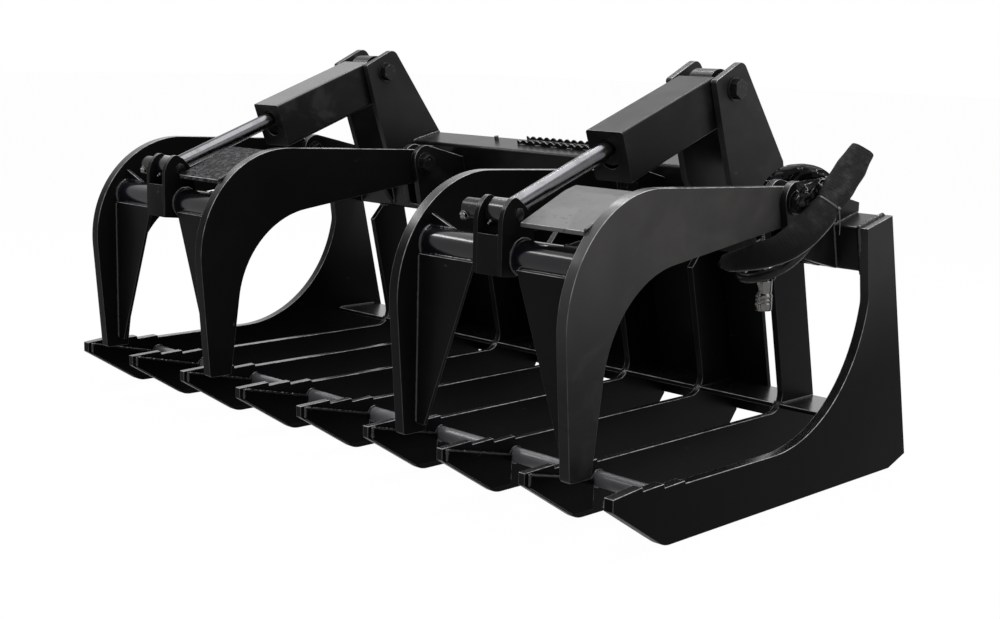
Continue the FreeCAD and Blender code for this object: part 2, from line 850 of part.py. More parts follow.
def rod_pin(name, x):
    """The rod pin, flush with the right lug, with a round collar at its left end."""
    corners = [("-lug_out - pin_collar_long", "0"), ("-lug_out - pin_collar_long", "pin_collar"),
               ("-lug_out", "pin_collar"), ("-lug_out", "pin"), ("lug_out", "pin"), ("lug_out", "0")]
    return place(turned(name, corners, "X"), x, "pin_y", "pin_z")


def grip():
    """The serrated step: a channel on the upper tube whose two edges are cut into teeth."""
    body = new_body("step_grip")
    sketch = sketch_on(body, "YZ_Plane")
    floor = "(beam_top + beam)"
    rear, front = "(-grip_back)", "(-grip_back - grip_deep)"
    inner_rear, inner_front = f"({rear} - grip_wall)", f"({front} + grip_wall)"
    inside, top = f"{floor} + grip_wall", f"{floor} + grip_tall"
    corners = [(rear, floor), (rear, top), (inner_rear, top), (inner_rear, inside),
               (inner_front, inside), (inner_front, top), (front, top), (front, floor)]
    outline(sketch, corners)
    pad(body, sketch, "grip_long")
    teeth = sketch_on(body, "XZ_Plane")
    pitch = "(grip_long/grip_teeth)"
    high = f"{floor} + grip_tall + 1"
    tooth = [(f"{pitch}*0.08", high), (f"{pitch}*0.92", high), (f"{pitch}*0.5", f"{high} - grip_tooth")]
    outline(teeth, tooth)
    notch = body.newObject("PartDesign::Pocket", "step_grip_notch")
    notch.Profile = teeth
    notch.Reversed = True
    notch.Midplane = True
    notch.setExpression("Length", ex("3*(grip_back + grip_deep)"))
    row_of = body.newObject("PartDesign::LinearPattern", "step_grip_teeth")
    row_of.Originals = [notch]
    row_of.Direction = (teeth, ["H_Axis"])
    row_of.Occurrences = int(SIZES["grip_teeth"])
    row_of.setExpression("Length", ex(f"{pitch}*(grip_teeth - 1)"))
    body.Tip = row_of
    return place_on_back(body, "grip_left")


# Routes of the two hoses, chosen by hand from where they leave their fittings' straight run: each
# point is (x, y, z) with y from the heel.
HANGING_PATH = [
    (702, 525, 468), (716, 474, 454), (756, 438, 450), (806, 440, 462), (838, 477, 486), (846, 534, 522),
    (848, 588, 562), (848, 632, 618), (834, 640, 668), (793, 607, 686), (762, 571, 668), (749, 543, 628),
    (746, 529, 585), (746, 529, 542),
]
BARE_PATH = [(666, 516, 470), (692, 444, 467)]
COVERED_PATH = [
    (740, 404, 478), (790, 396, 492), (836, 412, 508), (868, 452, 530), (881, 505, 564), (885, 556, 606),
    (888, 610, 658), (890, 672, 711),
]


def vector(spot):
    return FreeCAD.Vector(spot[0], spot[1] - number("heel_ahead"), spot[2])


def route(points):
    """The edges of straight runs joined by tangent arcs, each as large as its two runs allow."""
    spots = [vector(p) for p in points]
    edges, here, radii = [], spots[0], []
    for last, spot, following in zip(spots, spots[1:], spots[2:]):
        to_last, to_next = (last - spot).normalize(), (following - spot).normalize()
        turn = math.pi - to_last.getAngle(to_next)
        run = 0.45 * min((last - spot).Length, (following - spot).Length)
        radius = run / math.tan(turn / 2)
        radii.append(round(radius))
        start, end = spot + to_last * run, spot + to_next * run
        away = (to_last + to_next).normalize() * (radius / math.cos(turn / 2) - radius)
        edges.append(Part.LineSegment(here, start).toShape())
        edges.append(Part.Arc(start, spot + away, end).toShape())
        here = end
    edges.append(Part.LineSegment(here, spots[-1]).toShape())
    print("hose bend radii", radii)
    return edges


def swept(edges, radius):
    """A round bar along a route's edges, which start with a straight run."""
    wire = Part.Wire(edges)
    start, end = edges[0].Vertexes[0].Point, edges[0].Vertexes[-1].Point
    ring = Part.Wire([Part.Circle(start, end - start, radius).toShape()])
    solid = wire.makePipeShell([ring], True, False)
    section = math.pi * radius ** 2
    print("length", round(wire.Length), "volume over section", round(solid.Volume / section, 1))
    return solid


def from_fitting(x, points):
    """A hose's whole route: its straight run out of the fitting at x, then its own points."""
    ends = [back(f"beam + hose_nut_long + {out}", "hose_port") for out in ("0", "hose_start")]
    return [(number(x), number(y), number(z)) for y, z in ends] + points


def soft_piece(name, shape):
    feature = doc.addObject("Part::Feature", name)
    feature.Label = name
    feature.Shape = shape
    return feature


def coupler(name):
    """The hanging hose's end: crimped ferrule, hexagon-sized nut, neck and quick coupler."""
    x, y, z = HANGING_PATH[-1]
    nut_at, neck_at = "-ferrule_long", "(-ferrule_long - ferrule_nut_long)"
    top, low = "(coupler_long - coupler_drop)", "-coupler_drop"
    corners = [
        ("0", "0"), ("ferrule - 2", "0"), ("ferrule", "-4"), ("ferrule", nut_at), ("ferrule - 2", nut_at),
        ("ferrule - 2", neck_at), ("coupler_neck", neck_at), ("coupler_neck", f"{top} + 4"),
        ("coupler_waist - 3", f"{top} + 4"), ("coupler_waist", top), ("coupler_waist", f"{top} - 24"),
        ("coupler_waist - 1", f"{top} - 26"), ("coupler_waist", f"{top} - 28"), ("coupler", f"{top} - 34"),
        ("coupler", f"{low} + 3"), ("coupler - 1", low), ("coupler_mouth", low),
        ("coupler_mouth", f"{low} + 14"), ("0", f"{low} + 14"),
    ]
    body = new_body(name)
    sketch = sketch_on(body, "XZ_Plane")
    outline(sketch, corners)
    feature = body.newObject("PartDesign::Revolution", name + "_turn")
    feature.Profile = sketch
    feature.ReferenceAxis = (sketch, ["V_Axis"])
    feature.Angle = 360
    return place(body, str(x), str(y), str(z))


def bulkhead(name, x):
    """A hexagon fitting that points a hose out of the beam's front face."""
    body = new_body(name)
    hexagon = sketch_on(body, "XZ_Plane")
    outline(hexagon, hex_corners("hose_nut"))
    pad(body, hexagon, "hose_nut_long")
    y, z = back("beam", "hose_port")
    return place(body, x, y, z, "lean")


def stud(name):
    """A short threaded stud on top of the upper tube."""
    body = new_body(name)
    sketch = sketch_on(body, "XY_Plane")
    circle(sketch, "0", "0", "stud")
    pad(body, sketch, "stud_long")
    y, z = back("grip_back + grip_deep/2", "beam_top + beam")
    return place(body, "stud_x", y, z, "lean")


nodes = []

nodes.append(side_plate("left_side_plate", f"-{SIDE_FACE}"))
nodes.append(side_plate("right_side_plate", f"{SIDE_FACE} - side_thick"))
inner = range(-(TINES // 2), TINES // 2 + 1)
for number_of, k in enumerate(inner, start=1):
    nodes.append(tine(f"tine_{number_of}", tine_x(k)))

teeth = [tooth_plate(f"tooth_plate_{k + 4}", bay(k)[0]) for k in (-4, *inner)]
teeth.append(tooth_plate("tooth_plate_8", f"{SIDE_FACE} - side_thick - tooth_thick"))
nodes.append(group("tooth_plates", teeth))

tip_tubes = []
for k in (-4, *inner):
    start, wide = bay(k)
    piece = tube(f"tip_tube_{k + 4}", "tip_tube_round", "tip_tube_wall", wide)
    tip_tubes.append(place(piece, start, "tip_tube_y", "tip_tube_z"))
nodes.append(group("front_cross_tubes", tip_tubes))
nodes.append(group("lower_shelf", [shelf_plate(f"shelf_plate_{k + 4}", k) for k in (-4, *inner)]))
nodes.append(mount_plate())
nodes.append(square_tube("top_beam", f"{SIDE_FACE} - side_thick", BEAM_FLOOR))
nodes.append(square_tube("upper_tube", "clamp_x - tower_gap - tower_thick", "beam_top"))
SIDES = (("left", -1), ("right", 1))
nodes.append(group("tower_gussets", [tower_gusset(f"tower_gusset_{word}", side) for word, side in SIDES]))
nodes.append(grip())
nodes.append(stud("top_stud"))

hinge_ears, hinge_bolts, hinge_nuts, rear_plates, base_pins, base_nuts = [], [], [], [], [], []
for word, side in SIDES:
    middle = f"({side}*clamp_x)"
    ears = [
        tower_ear(f"{word}_tower_ear_1", f"{middle} - tower_gap - tower_thick"),
        tower_ear(f"{word}_tower_ear_2", f"{middle} + tower_gap"),
    ]
    nodes.append(group(f"{word}_tower_ears", ears))
    rear_plates.append(tower_rear_plate(f"{word}_tower_rear_plate", middle))

    bushes = []
    for which, arm_x in (("outer", f"({side}*3.5*tine_gap)"), ("inner", f"({side}*1.5*tine_gap)")):
        make_ear = pivot_ear if which == "outer" else inner_pivot_ear
        near = f"({arm_x} - arm_thick/2 - ear_gap - ear_thick)"
        far = f"({arm_x} + arm_thick/2 + ear_gap)"
        name = f"{word}_{which}"
        hinge_ears += [make_ear(f"{name}_ear_1", near), make_ear(f"{name}_ear_2", far)]
        start, through = f"({near} - nut_long)", "(arm_thick + 2*ear_gap + 2*ear_thick + nut_long)"
        hinge_bolts.append(bolt(f"{name}_hinge_bolt", start, "pivot_y", "pivot_z", through))
        hinge_nuts.append(nut(f"{name}_hinge_nut", start, "pivot_y", "pivot_z"))
        hinge_nuts.append(washer(f"{name}_hinge_washer", f"({far} + ear_thick)", "pivot_y", "pivot_z"))
        nodes.append(arm(f"{name}_arm", f"({arm_x} - arm_thick/2)"))
        bushes.append(bush(f"{name}_bush", f"({arm_x} - arm_thick/2)"))
    nodes.append(group(f"{word}_arm_bushes", bushes))

    start = f"({middle} - tower_gap - tower_thick - nut_long)"
    through = "(2*tower_gap + 2*tower_thick + nut_long)"
    base_pins.append(bolt(f"{word}_base_pin", start, "base_y", "base_z", through))
    base_nuts.append(nut(f"{word}_base_nut", start, "base_y", "base_z"))
    washer_at = f"({middle} + tower_gap + tower_thick)"
    base_nuts.append(washer(f"{word}_base_washer", washer_at, "base_y", "base_z"))

    half_inside = "(tine_gap - arm_thick/2)"
    piece = tube(f"{word}_cross_tube", "cross_round", "cross_wall", f"2*{half_inside}")
    nodes.append(place(piece, f"{middle} - {half_inside}", "cross_y", "cross_z"))
    lugs = [
        lug(f"{word}_lug_1", f"{middle} - lug_out"),
        lug(f"{word}_lug_2", f"{middle} + lug_out - lug_thick"),
        lug_web(f"{word}_lug_web", f"{middle} - lug_out + lug_thick"),
    ]
    nodes.append(group(f"{word}_rod_lugs", lugs))
    stiffeners = []
    for edge, way in (("a", -1), ("b", 1)):
        at = f"({middle} + {way}*{half_inside})"
        stiffeners.append(front_plate(f"{word}_front_plate_{edge}", at, way))
        stiffeners.append(corner_gusset(f"{word}_corner_gusset_{edge}", at, way))
    nodes.append(group(f"{word}_front_plates", stiffeners))
    wide = f"({half_inside} - rod_slot_half)"
    nodes.append(top_plate(f"{word}_top_plates", f"({middle} + rod_slot_half)", wide))
    nodes.append(rod_pin(f"{word}_rod_pin", middle))

    nodes.append(rod(f"{word}_rod", middle))
    nodes.append(piston(f"{word}_piston", middle))
    nodes.append(gland(f"{word}_gland", middle))
    nodes.append(barrel(f"{word}_barrel", middle))
    nodes.append(cover(f"{word}_cover", middle))

nodes.append(group("tower_rear_plates", rear_plates))
nodes.append(group("hinge_ears", hinge_ears))
nodes.append(group("hinge_bolts", hinge_bolts))
nodes.append(group("hinge_nuts", hinge_nuts))
nodes.append(group("base_pins", base_pins))
nodes.append(group("base_pin_nuts", base_nuts))

hanging_x, sleeved_x = "hose_port_x", "(hose_port_x - hose_port_gap)"
bulkheads = [bulkhead("hanging_bulkhead", hanging_x), bulkhead("sleeved_bulkhead", sleeved_x)]
nodes.append(group("hose_bulkheads", bulkheads))
hose_round = number("hose")
nodes.append(soft_piece("hanging_hose", swept(route(from_fitting(hanging_x, HANGING_PATH)), hose_round)))
bare_start = from_fitting(sleeved_x, BARE_PATH)
sleeved_route = route(bare_start + COVERED_PATH)
# Each corner has a run and an arc, so the sleeve starts with the run to its first own point.
covered = sleeved_route[2 * (len(bare_start) - 1):]
nodes.append(soft_piece("sleeved_hose", swept(sleeved_route, hose_round)))
sleeve_wall = swept(covered, number("sleeve")).cut(swept(covered, number("hose + sleeve_play")))
nodes.append(soft_piece("hose_sleeve", sleeve_wall))
nodes.append(coupler("hose_coupler"))

doc.recompute()


def check(thing):
    """Stops the build on a failed feature or an unusable shape."""
    shape = thing.Shape
    if shape.isNull() or not shape.isValid():
        raise RuntimeError(f"{thing.Label} has no valid shape")


failed = [thing.Label for thing in doc.Objects if "Invalid" in thing.State or "Error" in thing.State]
if failed:
    raise RuntimeError(f"these failed: {failed}")
os.makedirs("parts", exist_ok=True)
for node in nodes:
    check(node)
    node.Shape.exportStep(f"parts/{node.Label}.step")
print(len(nodes), "nodes")
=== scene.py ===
"""Looks of the root grapple: its welded plates, clamps, cylinders and hoses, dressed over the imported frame.

Sizes in the classes are millimetres. Places count y from the heels of the tines, z from the ground and x to
the tool's right; spot() carries them into the tool's own frame in metres.
"""

from __future__ import annotations

import logging
import math
from dataclasses import dataclass, field
from enum import Enum
from typing import Any, Iterable, Sequence

import bmesh
import bpy
from mathutils import Euler, Matrix, Quaternion, Vector, noise
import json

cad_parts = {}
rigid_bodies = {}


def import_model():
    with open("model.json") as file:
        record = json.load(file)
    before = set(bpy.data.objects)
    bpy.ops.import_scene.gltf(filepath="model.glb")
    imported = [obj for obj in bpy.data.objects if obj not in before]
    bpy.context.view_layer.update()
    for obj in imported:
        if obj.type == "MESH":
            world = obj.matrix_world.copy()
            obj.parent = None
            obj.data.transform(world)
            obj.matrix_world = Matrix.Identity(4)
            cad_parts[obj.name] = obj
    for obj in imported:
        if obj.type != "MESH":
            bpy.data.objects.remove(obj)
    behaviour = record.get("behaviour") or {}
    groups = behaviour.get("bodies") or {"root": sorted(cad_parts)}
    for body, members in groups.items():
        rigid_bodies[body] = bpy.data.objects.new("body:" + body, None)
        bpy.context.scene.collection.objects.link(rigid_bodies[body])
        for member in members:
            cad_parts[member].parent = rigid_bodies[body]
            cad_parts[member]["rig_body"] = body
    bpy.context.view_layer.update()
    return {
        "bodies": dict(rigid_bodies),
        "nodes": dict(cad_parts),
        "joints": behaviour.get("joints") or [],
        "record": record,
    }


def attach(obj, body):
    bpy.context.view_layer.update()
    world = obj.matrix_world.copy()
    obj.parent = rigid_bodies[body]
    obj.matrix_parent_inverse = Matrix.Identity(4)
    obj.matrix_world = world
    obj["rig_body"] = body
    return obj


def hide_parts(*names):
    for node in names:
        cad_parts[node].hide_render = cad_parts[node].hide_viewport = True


log = logging.getLogger("grapple")

MM = 0.001
HEEL_AHEAD = 369.19
REAR_FOOT = 885.0
FOOT_RISE = 23.0
BACK_LEAN = math.radians(13.1)
EYE = Vector((2.56453, -2.52308, 0.92594))


class Slot(Enum):
    """The record's material slots."""

    PAINT = "black_paint"
    CHROME = "chrome_rod"
    DARK_STEEL = "dark_steel"
    BRIGHT_STEEL = "bright_steel"
    RUBBER = "hose_rubber"
    FABRIC = "sleeve_fabric"


class Side(Enum):
    """The tool's two clamps, by which side they stand on."""

    LEFT = -1
    RIGHT = 1

    @property
    def word(self) -> str:
        """The side's name in the nodes' names."""
        return self.name.lower()


@dataclass(frozen=True)
class Layout:
    """Where the grapple's main pieces stand, in millimetres."""

    tine_gap: float = 228.6
    tine_half: float = 8.0
    side_inside: float = 892.4
    beam: float = 101.6
    beam_floor: float = 471.4
    beam_top: float = 573.0
    upper_roof: float = 674.6
    clamp_x: float = 571.5
    tower_inside: float = 53.0
    tower_outside: float = 69.0
    arm_half: float = 12.5
    ear_inside: float = 14.0
    ear_outside: float = 30.0
    half_inside: float = 216.1
    cross_y: float = -90.0
    cross_z: float = 523.0
    cross_round: float = 35.0
    pin_y: float = -104.0
    pin_z: float = 607.0
    pin_collar: float = 21.0
    rod_eye: float = 28.0
    lug_outside: float = 39.0
    lug_inside: float = 28.0
    plate_front: float = -127.4
    plate_back: float = -119.4
    plate_top: float = 504.0
    pivot_y: float = 500.0
    pivot_z: float = 615.0
    base_y: float = 528.0
    base_z: float = 843.0
    shelf_top: float = 127.0


LAYOUT = Layout()


def spot(x: float, y: float, z: float) -> Vector:
    """Turns a place in millimetres, y from the heels, into metres in the tool's frame.

    Args:
        x: millimetres to the tool's right.
        y: millimetres behind the tines' heels.
        z: millimetres above the ground.

    Returns:
        The place in the tool's frame.
    """
    return Vector((x, y - HEEL_AHEAD, z)) * MM


def on_back(x: float, v: float, u: float) -> Vector:
    """Gives a place on the leaning back of the tool.

    Args:
        x: millimetres to the tool's right.
        v: millimetres forward of the rear plane.
        u: millimetres up along the plane from its foot.

    Returns:
        The place in the tool's frame.
    """
    y = REAR_FOOT - u * math.sin(BACK_LEAN) - v * math.cos(BACK_LEAN)
    return spot(x, y, FOOT_RISE + u * math.cos(BACK_LEAN) - v * math.sin(BACK_LEAN))


class Signal:
    """A socket's value; arithmetic on it adds the Math nodes that it stands for."""

    def __init__(self, recipe: "Recipe", socket: bpy.types.NodeSocket) -> None:
        """Wraps an output socket of one of the recipe's nodes."""
        self.recipe = recipe
        self.socket = socket

    def _math(self, operation: str, *values: Any) -> "Signal":
        """Adds one Math node.

        Args:
            operation: the node's operation.
            values: its inputs in order, numbers or signals.

        Returns:
            The node's value.
        """
        sockets = dict(enumerate(values))
        return self.recipe.signal("ShaderNodeMath", {"operation": operation}, sockets)

    def __add__(self, other: Any) -> "Signal":
        """The sum."""
        return self._math("ADD", self, other)

    __radd__ = __add__

    def __mul__(self, other: Any) -> "Signal":
        """The product."""
        return self._math("MULTIPLY", self, other)

    __rmul__ = __mul__

    def __sub__(self, other: Any) -> "Signal":
        """The difference."""
        return self._math("SUBTRACT", self, other)

    def __rsub__(self, other: Any) -> "Signal":
        """The difference from a number."""
        return self._math("SUBTRACT", other, self)

    def __pow__(self, other: Any) -> "Signal":
        """The power."""
        return self._math("POWER", self, other)

    def at_most(self, other: Any) -> "Signal":
        """The smaller of the two."""
        return self._math("MINIMUM", self, other)

    def size(self) -> "Signal":
        """The value without its sign."""
        return self._math("ABSOLUTE", self)

    def step(self, low: float, high: float, start: float = 0.0, stop: float = 1.0) -> "Signal":
        """Eases from start to stop as the value goes from low to high.

        Args:
            low: the value where the change begins.
            high: the value where it ends.
            start: what it gives before low.
            stop: what it gives after high.

        Returns:
            The eased value.
        """
        sockets = {"Value": self, "From Min": low, "From Max": high, "To Min": start, "To Max": stop}
        return self.recipe.signal("ShaderNodeMapRange", {"interpolation_type": "SMOOTHSTEP"}, sockets)


class Recipe:
    """One material's nodes, from its texture coordinates to its surface."""

    def __init__(self, name: str) -> None:
        """Starts an empty material.

        Args:
            name: the material's name.
        """
        self.material = bpy.data.materials.new(name)
        self.material.use_nodes = True
        self.material.node_tree.nodes.clear()
        self.place = self.signal("ShaderNodeTexCoord", output="Object")

    def node(self, kind: str, settings: dict | None = None, sockets: dict | None = None) -> bpy.types.Node:
        """Adds a node, sets it and feeds it.

        Args:
            kind: the node's type.
            settings: its own settings; "stops" fills a colour ramp.
            sockets: values or signals by the input's name or number.

        Returns:
            The node.
        """
        made = self.material.node_tree.nodes.new(kind)
        for word, value in (settings or {}).items():
            if word == "stops":
                while len(made.color_ramp.elements) < len(value):
                    made.color_ramp.elements.new(1.0)
                for stop, (at, colour) in zip(made.color_ramp.elements, value):
                    stop.position, stop.color = at, colour
            else:
                setattr(made, word, value)
        for word, value in (sockets or {}).items():
            if isinstance(value, Signal):
                self.material.node_tree.links.new(value.socket, made.inputs[word])
            else:
                made.inputs[word].default_value = value
        return made

    def signal(self, kind: str, settings: dict | None = None, sockets: dict | None = None,
               output: Any = 0) -> Signal:
        """Adds a node and wraps one of its outputs.

        Args:
            kind: the node's type.
            settings: its own settings.
            sockets: values or signals by the input's name or number.
            output: the output's name or number.

        Returns:
            The wrapped output.
        """
        return Signal(self, self.node(kind, settings, sockets).outputs[output])

    def mottle(self, scale: float, detail: float = 3.0, stretch: Sequence[float] = (1, 1, 1),
               rough: float = 0.5, twist: float = 0.0) -> Signal:
        """Soft noise over the object.

        Args:
            scale: how many features fit in a metre.
            detail: how many finer layers it has.
            stretch: factors on the three directions.
            rough: how strong the finer layers are.
            twist: how far the pattern is bent by itself.

        Returns:
            The noise, from 0 to 1 and mostly near 0.5.
        """
        where = self.signal("ShaderNodeMapping", None, {"Vector": self.place, "Scale": tuple(stretch)})
        sockets = {"Vector": where, "Scale": scale, "Detail": detail, "Roughness": rough, "Distortion": twist}
        return self.signal("ShaderNodeTexNoise", None, sockets)

    def facing_up(self) -> Signal:
        """How far a surface faces up, from -1 to 1."""
        normal = self.signal("ShaderNodeNewGeometry", output="Normal")
        return self.signal("ShaderNodeSeparateXYZ", None, {0: normal}, "Z")

    def blend(self, mask: Signal | float, low: Any, high: Any) -> Signal:
        """Mixes two colours.

        Args:
            mask: 0 for the first, 1 for the second.
            low: the first colour, a triple or a signal.
            high: the second colour.

        Returns:
            The mixed colour.
        """
        sockets = {"Factor": mask}
        for word, value in (("A", low), ("B", high)):
            sockets[word] = value if isinstance(value, Signal) else (*value, 1.0)
        mixer = self.node("ShaderNodeMix", {"data_type": "RGBA"})
        for word, value in sockets.items():
            socket = [s for s in mixer.inputs if s.name == word and s.enabled][0]
            if isinstance(value, Signal):
                self.material.node_tree.links.new(value.socket, socket)
            else:
                socket.default_value = value
        return Signal(self, [s for s in mixer.outputs if s.enabled][0])

    def relief(self, height: Signal, distance_mm: float, strength: float = 1.0,
               under: Signal | None = None) -> Signal:
        """Turns a height into a bent normal.

        Args:
            height: the height, from 0 to 1.
            distance_mm: how deep 1 is.
            strength: the bump's strength.
            under: a normal that this one adds to.

        Returns:
            The normal.
        """
        sockets = {"Height": height, "Distance": distance_mm * MM, "Strength": strength}
        if under is not None:
            sockets["Normal"] = under
        return self.signal("ShaderNodeBump", None, sockets)

    def surface(self, **sockets: Any) -> bpy.types.Material:
        """Closes the recipe with its surface.

        Args:
            sockets: the shader's inputs, with _ for each space in their names.

        Returns:
            The finished material.
        """
        fed = {word.replace("_", " "): value for word, value in sockets.items()}
        shader = self.signal("ShaderNodeBsdfPrincipled", None, fed)
        self.node("ShaderNodeOutputMaterial", None, {"Surface": shader})
        return self.material


@dataclass(frozen=True)
class Enamel:
    """Black enamel on steel: an orange-peel skin, dust on what faces up, dull smears."""

    name: str = "black_enamel"
    colour: tuple[float, float, float] = (0.0026, 0.0026, 0.0029)
    dust: tuple[float, float, float] = (0.050, 0.048, 0.046)
    gloss: float = 0.30
    dull: float = 0.52
    specular: float = 0.11
    peel: float = 0.10
    waves: float = 0.9
    dust_share: float = 0.5
    upright_share: float = 0.2
    haze: float = 0.0
    haze_low: float = 0.10
    haze_high: float = 0.45
    sheen_up: float = 0.35
    sheen_rough: float = 0.24
    drips: float = 0.0
    scuffs: float = 0.5

    def make(self) -> bpy.types.Material:
        """Makes the paint."""
        recipe = Recipe(self.name)
        smears = recipe.mottle(7, 6, (1, 1, 1.6), 0.62, 0.6).step(0.46, 0.72)
        specks = recipe.mottle(210, 3, rough=0.7).step(0.66, 0.78)
        lying = recipe.facing_up().step(0.25, 0.95)
        height = recipe.signal("ShaderNodeSeparateXYZ", None, {0: recipe.place}, "Z")
        film = recipe.mottle(3.1, 4, (1, 1, 0.7), 0.55).step(0.30, 0.70, 0.55, 1.0)
        haze = height.step(self.haze_low, self.haze_high) * film * self.haze
        rub = smears * (lying * (1.0 - self.upright_share) + self.upright_share) * self.dust_share
        scuffs = recipe.mottle(23, 6, (1, 0.8, 2.6), 0.72, 0.9).step(0.64, 0.70)
        scuffs = scuffs * recipe.mottle(5, 2).step(0.48, 0.60) * self.scuffs
        dusty = (rub + specks * lying * 0.35 + haze + scuffs).at_most(1.0)
        if self.drips:
            dusty = dusty * (1.0 - recipe.mottle(44, 3, (1, 2.2, 1), 0.5, 0.4).step(0.60, 0.635) * self.drips)
        tone = recipe.mottle(2.3, 3).step(0.35, 0.65)
        base = recipe.blend(tone, self.colour, tuple(1.45 * part for part in self.colour))
        peel = recipe.mottle(420, 2)
        waves = recipe.mottle(11, 2)
        normal = recipe.relief(peel, self.peel, 0.5, recipe.relief(waves, self.waves, 0.35))
        return recipe.surface(
            Base_Color=recipe.blend(dusty, base, self.dust),
            Roughness=dusty.step(0.0, 1.0, self.gloss, self.dull) + recipe.mottle(26, 4) * 0.08,
            Specular_IOR_Level=self.specular,
            Coat_Weight=recipe.facing_up().step(0.35, 0.97) * self.sheen_up,
            Coat_Roughness=self.sheen_rough,
            Normal=normal,
        )


@dataclass(frozen=True)
class ThinEdge:
    """Enamel drawn thin over an edge, worn pale in patches, with a painted highlight that is strongest where the edge
    faces up.
    """

    name: str = "thin_edge"
    colour: tuple[float, float, float] = (0.010, 0.010, 0.011)
    # The pale colour is partly wear and partly a painted highlight.
    worn: tuple[float, float, float] = (0.40, 0.40, 0.41)
    least: float = 0.015

    def make(self) -> bpy.types.Material:
        """Makes the edge's paint."""
        recipe = Recipe(self.name)
        broken = recipe.mottle(34, 4, rough=0.6).step(0.34, 0.60, 0.35, 1.0)
        # Edges that face up take more of the pale colour: a painted highlight from above.
        lit_from_above = recipe.facing_up().step(-0.15, 0.75, self.least, 1.0)
        return recipe.surface(
            Base_Color=recipe.blend(broken * lit_from_above, self.colour, self.worn),
            Roughness=broken.step(0.0, 1.0, 0.34, 0.46),
            Specular_IOR_Level=0.14,
            Normal=recipe.relief(recipe.mottle(300, 2), 0.08, 0.4),
        )


@dataclass(frozen=True)
class RunnyEnamel:
    """Thick enamel that dried in blobs and runs, which breaks up what it mirrors; its paler swirls are painted
    highlights.
    """

    name: str = "runny_enamel"
    colour: tuple[float, float, float] = (0.004, 0.004, 0.0045)
    # The paler colour of the swirls, a painted highlight on the blobs.
    thin: tuple[float, float, float] = (0.060, 0.059, 0.062)
    blobs: float = 70.0
    deep: float = 3.0

    def make(self) -> bpy.types.Material:
        """Makes the paint."""
        recipe = Recipe(self.name)
        cells = recipe.signal("ShaderNodeTexVoronoi", {"feature": "SMOOTH_F1"},
                              {"Vector": recipe.place, "Scale": self.blobs, "Smoothness": 0.7})
        swirl = recipe.mottle(72, 2, (1, 1.2, 1), 0.5, 1.0).step(0.42, 0.62)
        height = swirl * 0.65 + cells * 0.6
        return recipe.surface(
            # The swirls take the paler colour: painted highlights where the blobs would mirror the light.
            Base_Color=recipe.blend(swirl * 0.8, self.colour, self.thin),
            Roughness=swirl.step(0.0, 1.0, 0.20, 0.38),
            Specular_IOR_Level=0.03,
            Normal=recipe.relief(height, self.deep, 0.8),
        )


@dataclass(frozen=True)
class PolishedRod:
    """Hard chrome with faint lengthwise rub marks and a film of oil."""

    name: str = "polished_rod"
    colour: tuple[float, float, float] = (0.105, 0.105, 0.112)
    oil: tuple[float, float, float] = (0.045, 0.044, 0.042)

    def make(self) -> bpy.types.Material:
        """Makes the chrome."""
        recipe = Recipe(self.name)
        rubs = recipe.mottle(60, 4, (6, 0.5, 1.4), 0.6)
        film = recipe.mottle(14, 4, (1, 1, 1), 0.6, 0.5).step(0.48, 0.70)
        return recipe.surface(
            Base_Color=recipe.blend(film * 0.6, self.colour, self.oil),
            Metallic=1.0,
            Roughness=rubs.step(0.3, 0.7, 0.14, 0.26) + film * 0.12,
            Normal=recipe.relief(rubs, 0.05, 0.25),
        )


@dataclass(frozen=True)
class BlackOxide:
    """Blackened steel of the bolts, nuts and bushes, with bright rubbed spots."""

    name: str = "black_oxide"
    colour: tuple[float, float, float] = (0.009, 0.009, 0.010)
    rubbed: tuple[float, float, float] = (0.16, 0.155, 0.15)

    def make(self) -> bpy.types.Material:
        """Makes the blackened steel."""
        recipe = Recipe(self.name)
        rubs = recipe.mottle(95, 5, rough=0.7).step(0.60, 0.74)
        grain = recipe.mottle(700, 2)
        return recipe.surface(
            Base_Color=recipe.blend(rubs, self.colour, self.rubbed),
            Metallic=0.4,
            Roughness=rubs.step(0.0, 1.0, 0.24, 0.42),
            Specular_IOR_Level=0.25,
            Normal=recipe.relief(grain, 0.06, 0.4),
        )


@dataclass(frozen=True)
class PlatedSteel:
    """Bright plated steel of the hose ends, with turning marks round it."""

    name: str = "plated_steel"
    colour: tuple[float, float, float] = (0.115, 0.113, 0.109)
    stained: tuple[float, float, float] = (0.045, 0.043, 0.040)

    def make(self) -> bpy.types.Material:
        """Makes the plating."""
        recipe = Recipe(self.name)
        turning = recipe.mottle(90, 3, (0.4, 0.4, 14), 0.6)
        stains = recipe.mottle(24, 4, (1, 1, 0.5), 0.6).step(0.54, 0.74)
        return recipe.surface(
            Base_Color=recipe.blend(stains, self.colour, self.stained),
            Metallic=1.0,
            Roughness=turning.step(0.35, 0.65, 0.12, 0.20) + stains * 0.10,
            Normal=recipe.relief(turning, 0.04, 0.25),
        )


@dataclass(frozen=True)
class HoseRubber:
    """Black hose cover with the print of the cloth it was cured in."""

    name: str = "hose_rubber"
    colour: tuple[float, float, float] = (0.0042, 0.0042, 0.0042)
    chalk: tuple[float, float, float] = (0.028, 0.027, 0.025)

    def make(self) -> bpy.types.Material:
        """Makes the rubber."""
        recipe = Recipe(self.name)
        print_marks = recipe.mottle(520, 2, (1, 1, 1), 0.5)
        chalky = recipe.mottle(22, 5, rough=0.65).step(0.50, 0.74)
        return recipe.surface(
            Base_Color=recipe.blend(chalky * 0.5, self.colour, self.chalk),
            Roughness=chalky.step(0.0, 1.0, 0.30, 0.58),
            Specular_IOR_Level=0.12,
            Normal=recipe.relief(print_marks, 0.12, 0.6),
        )


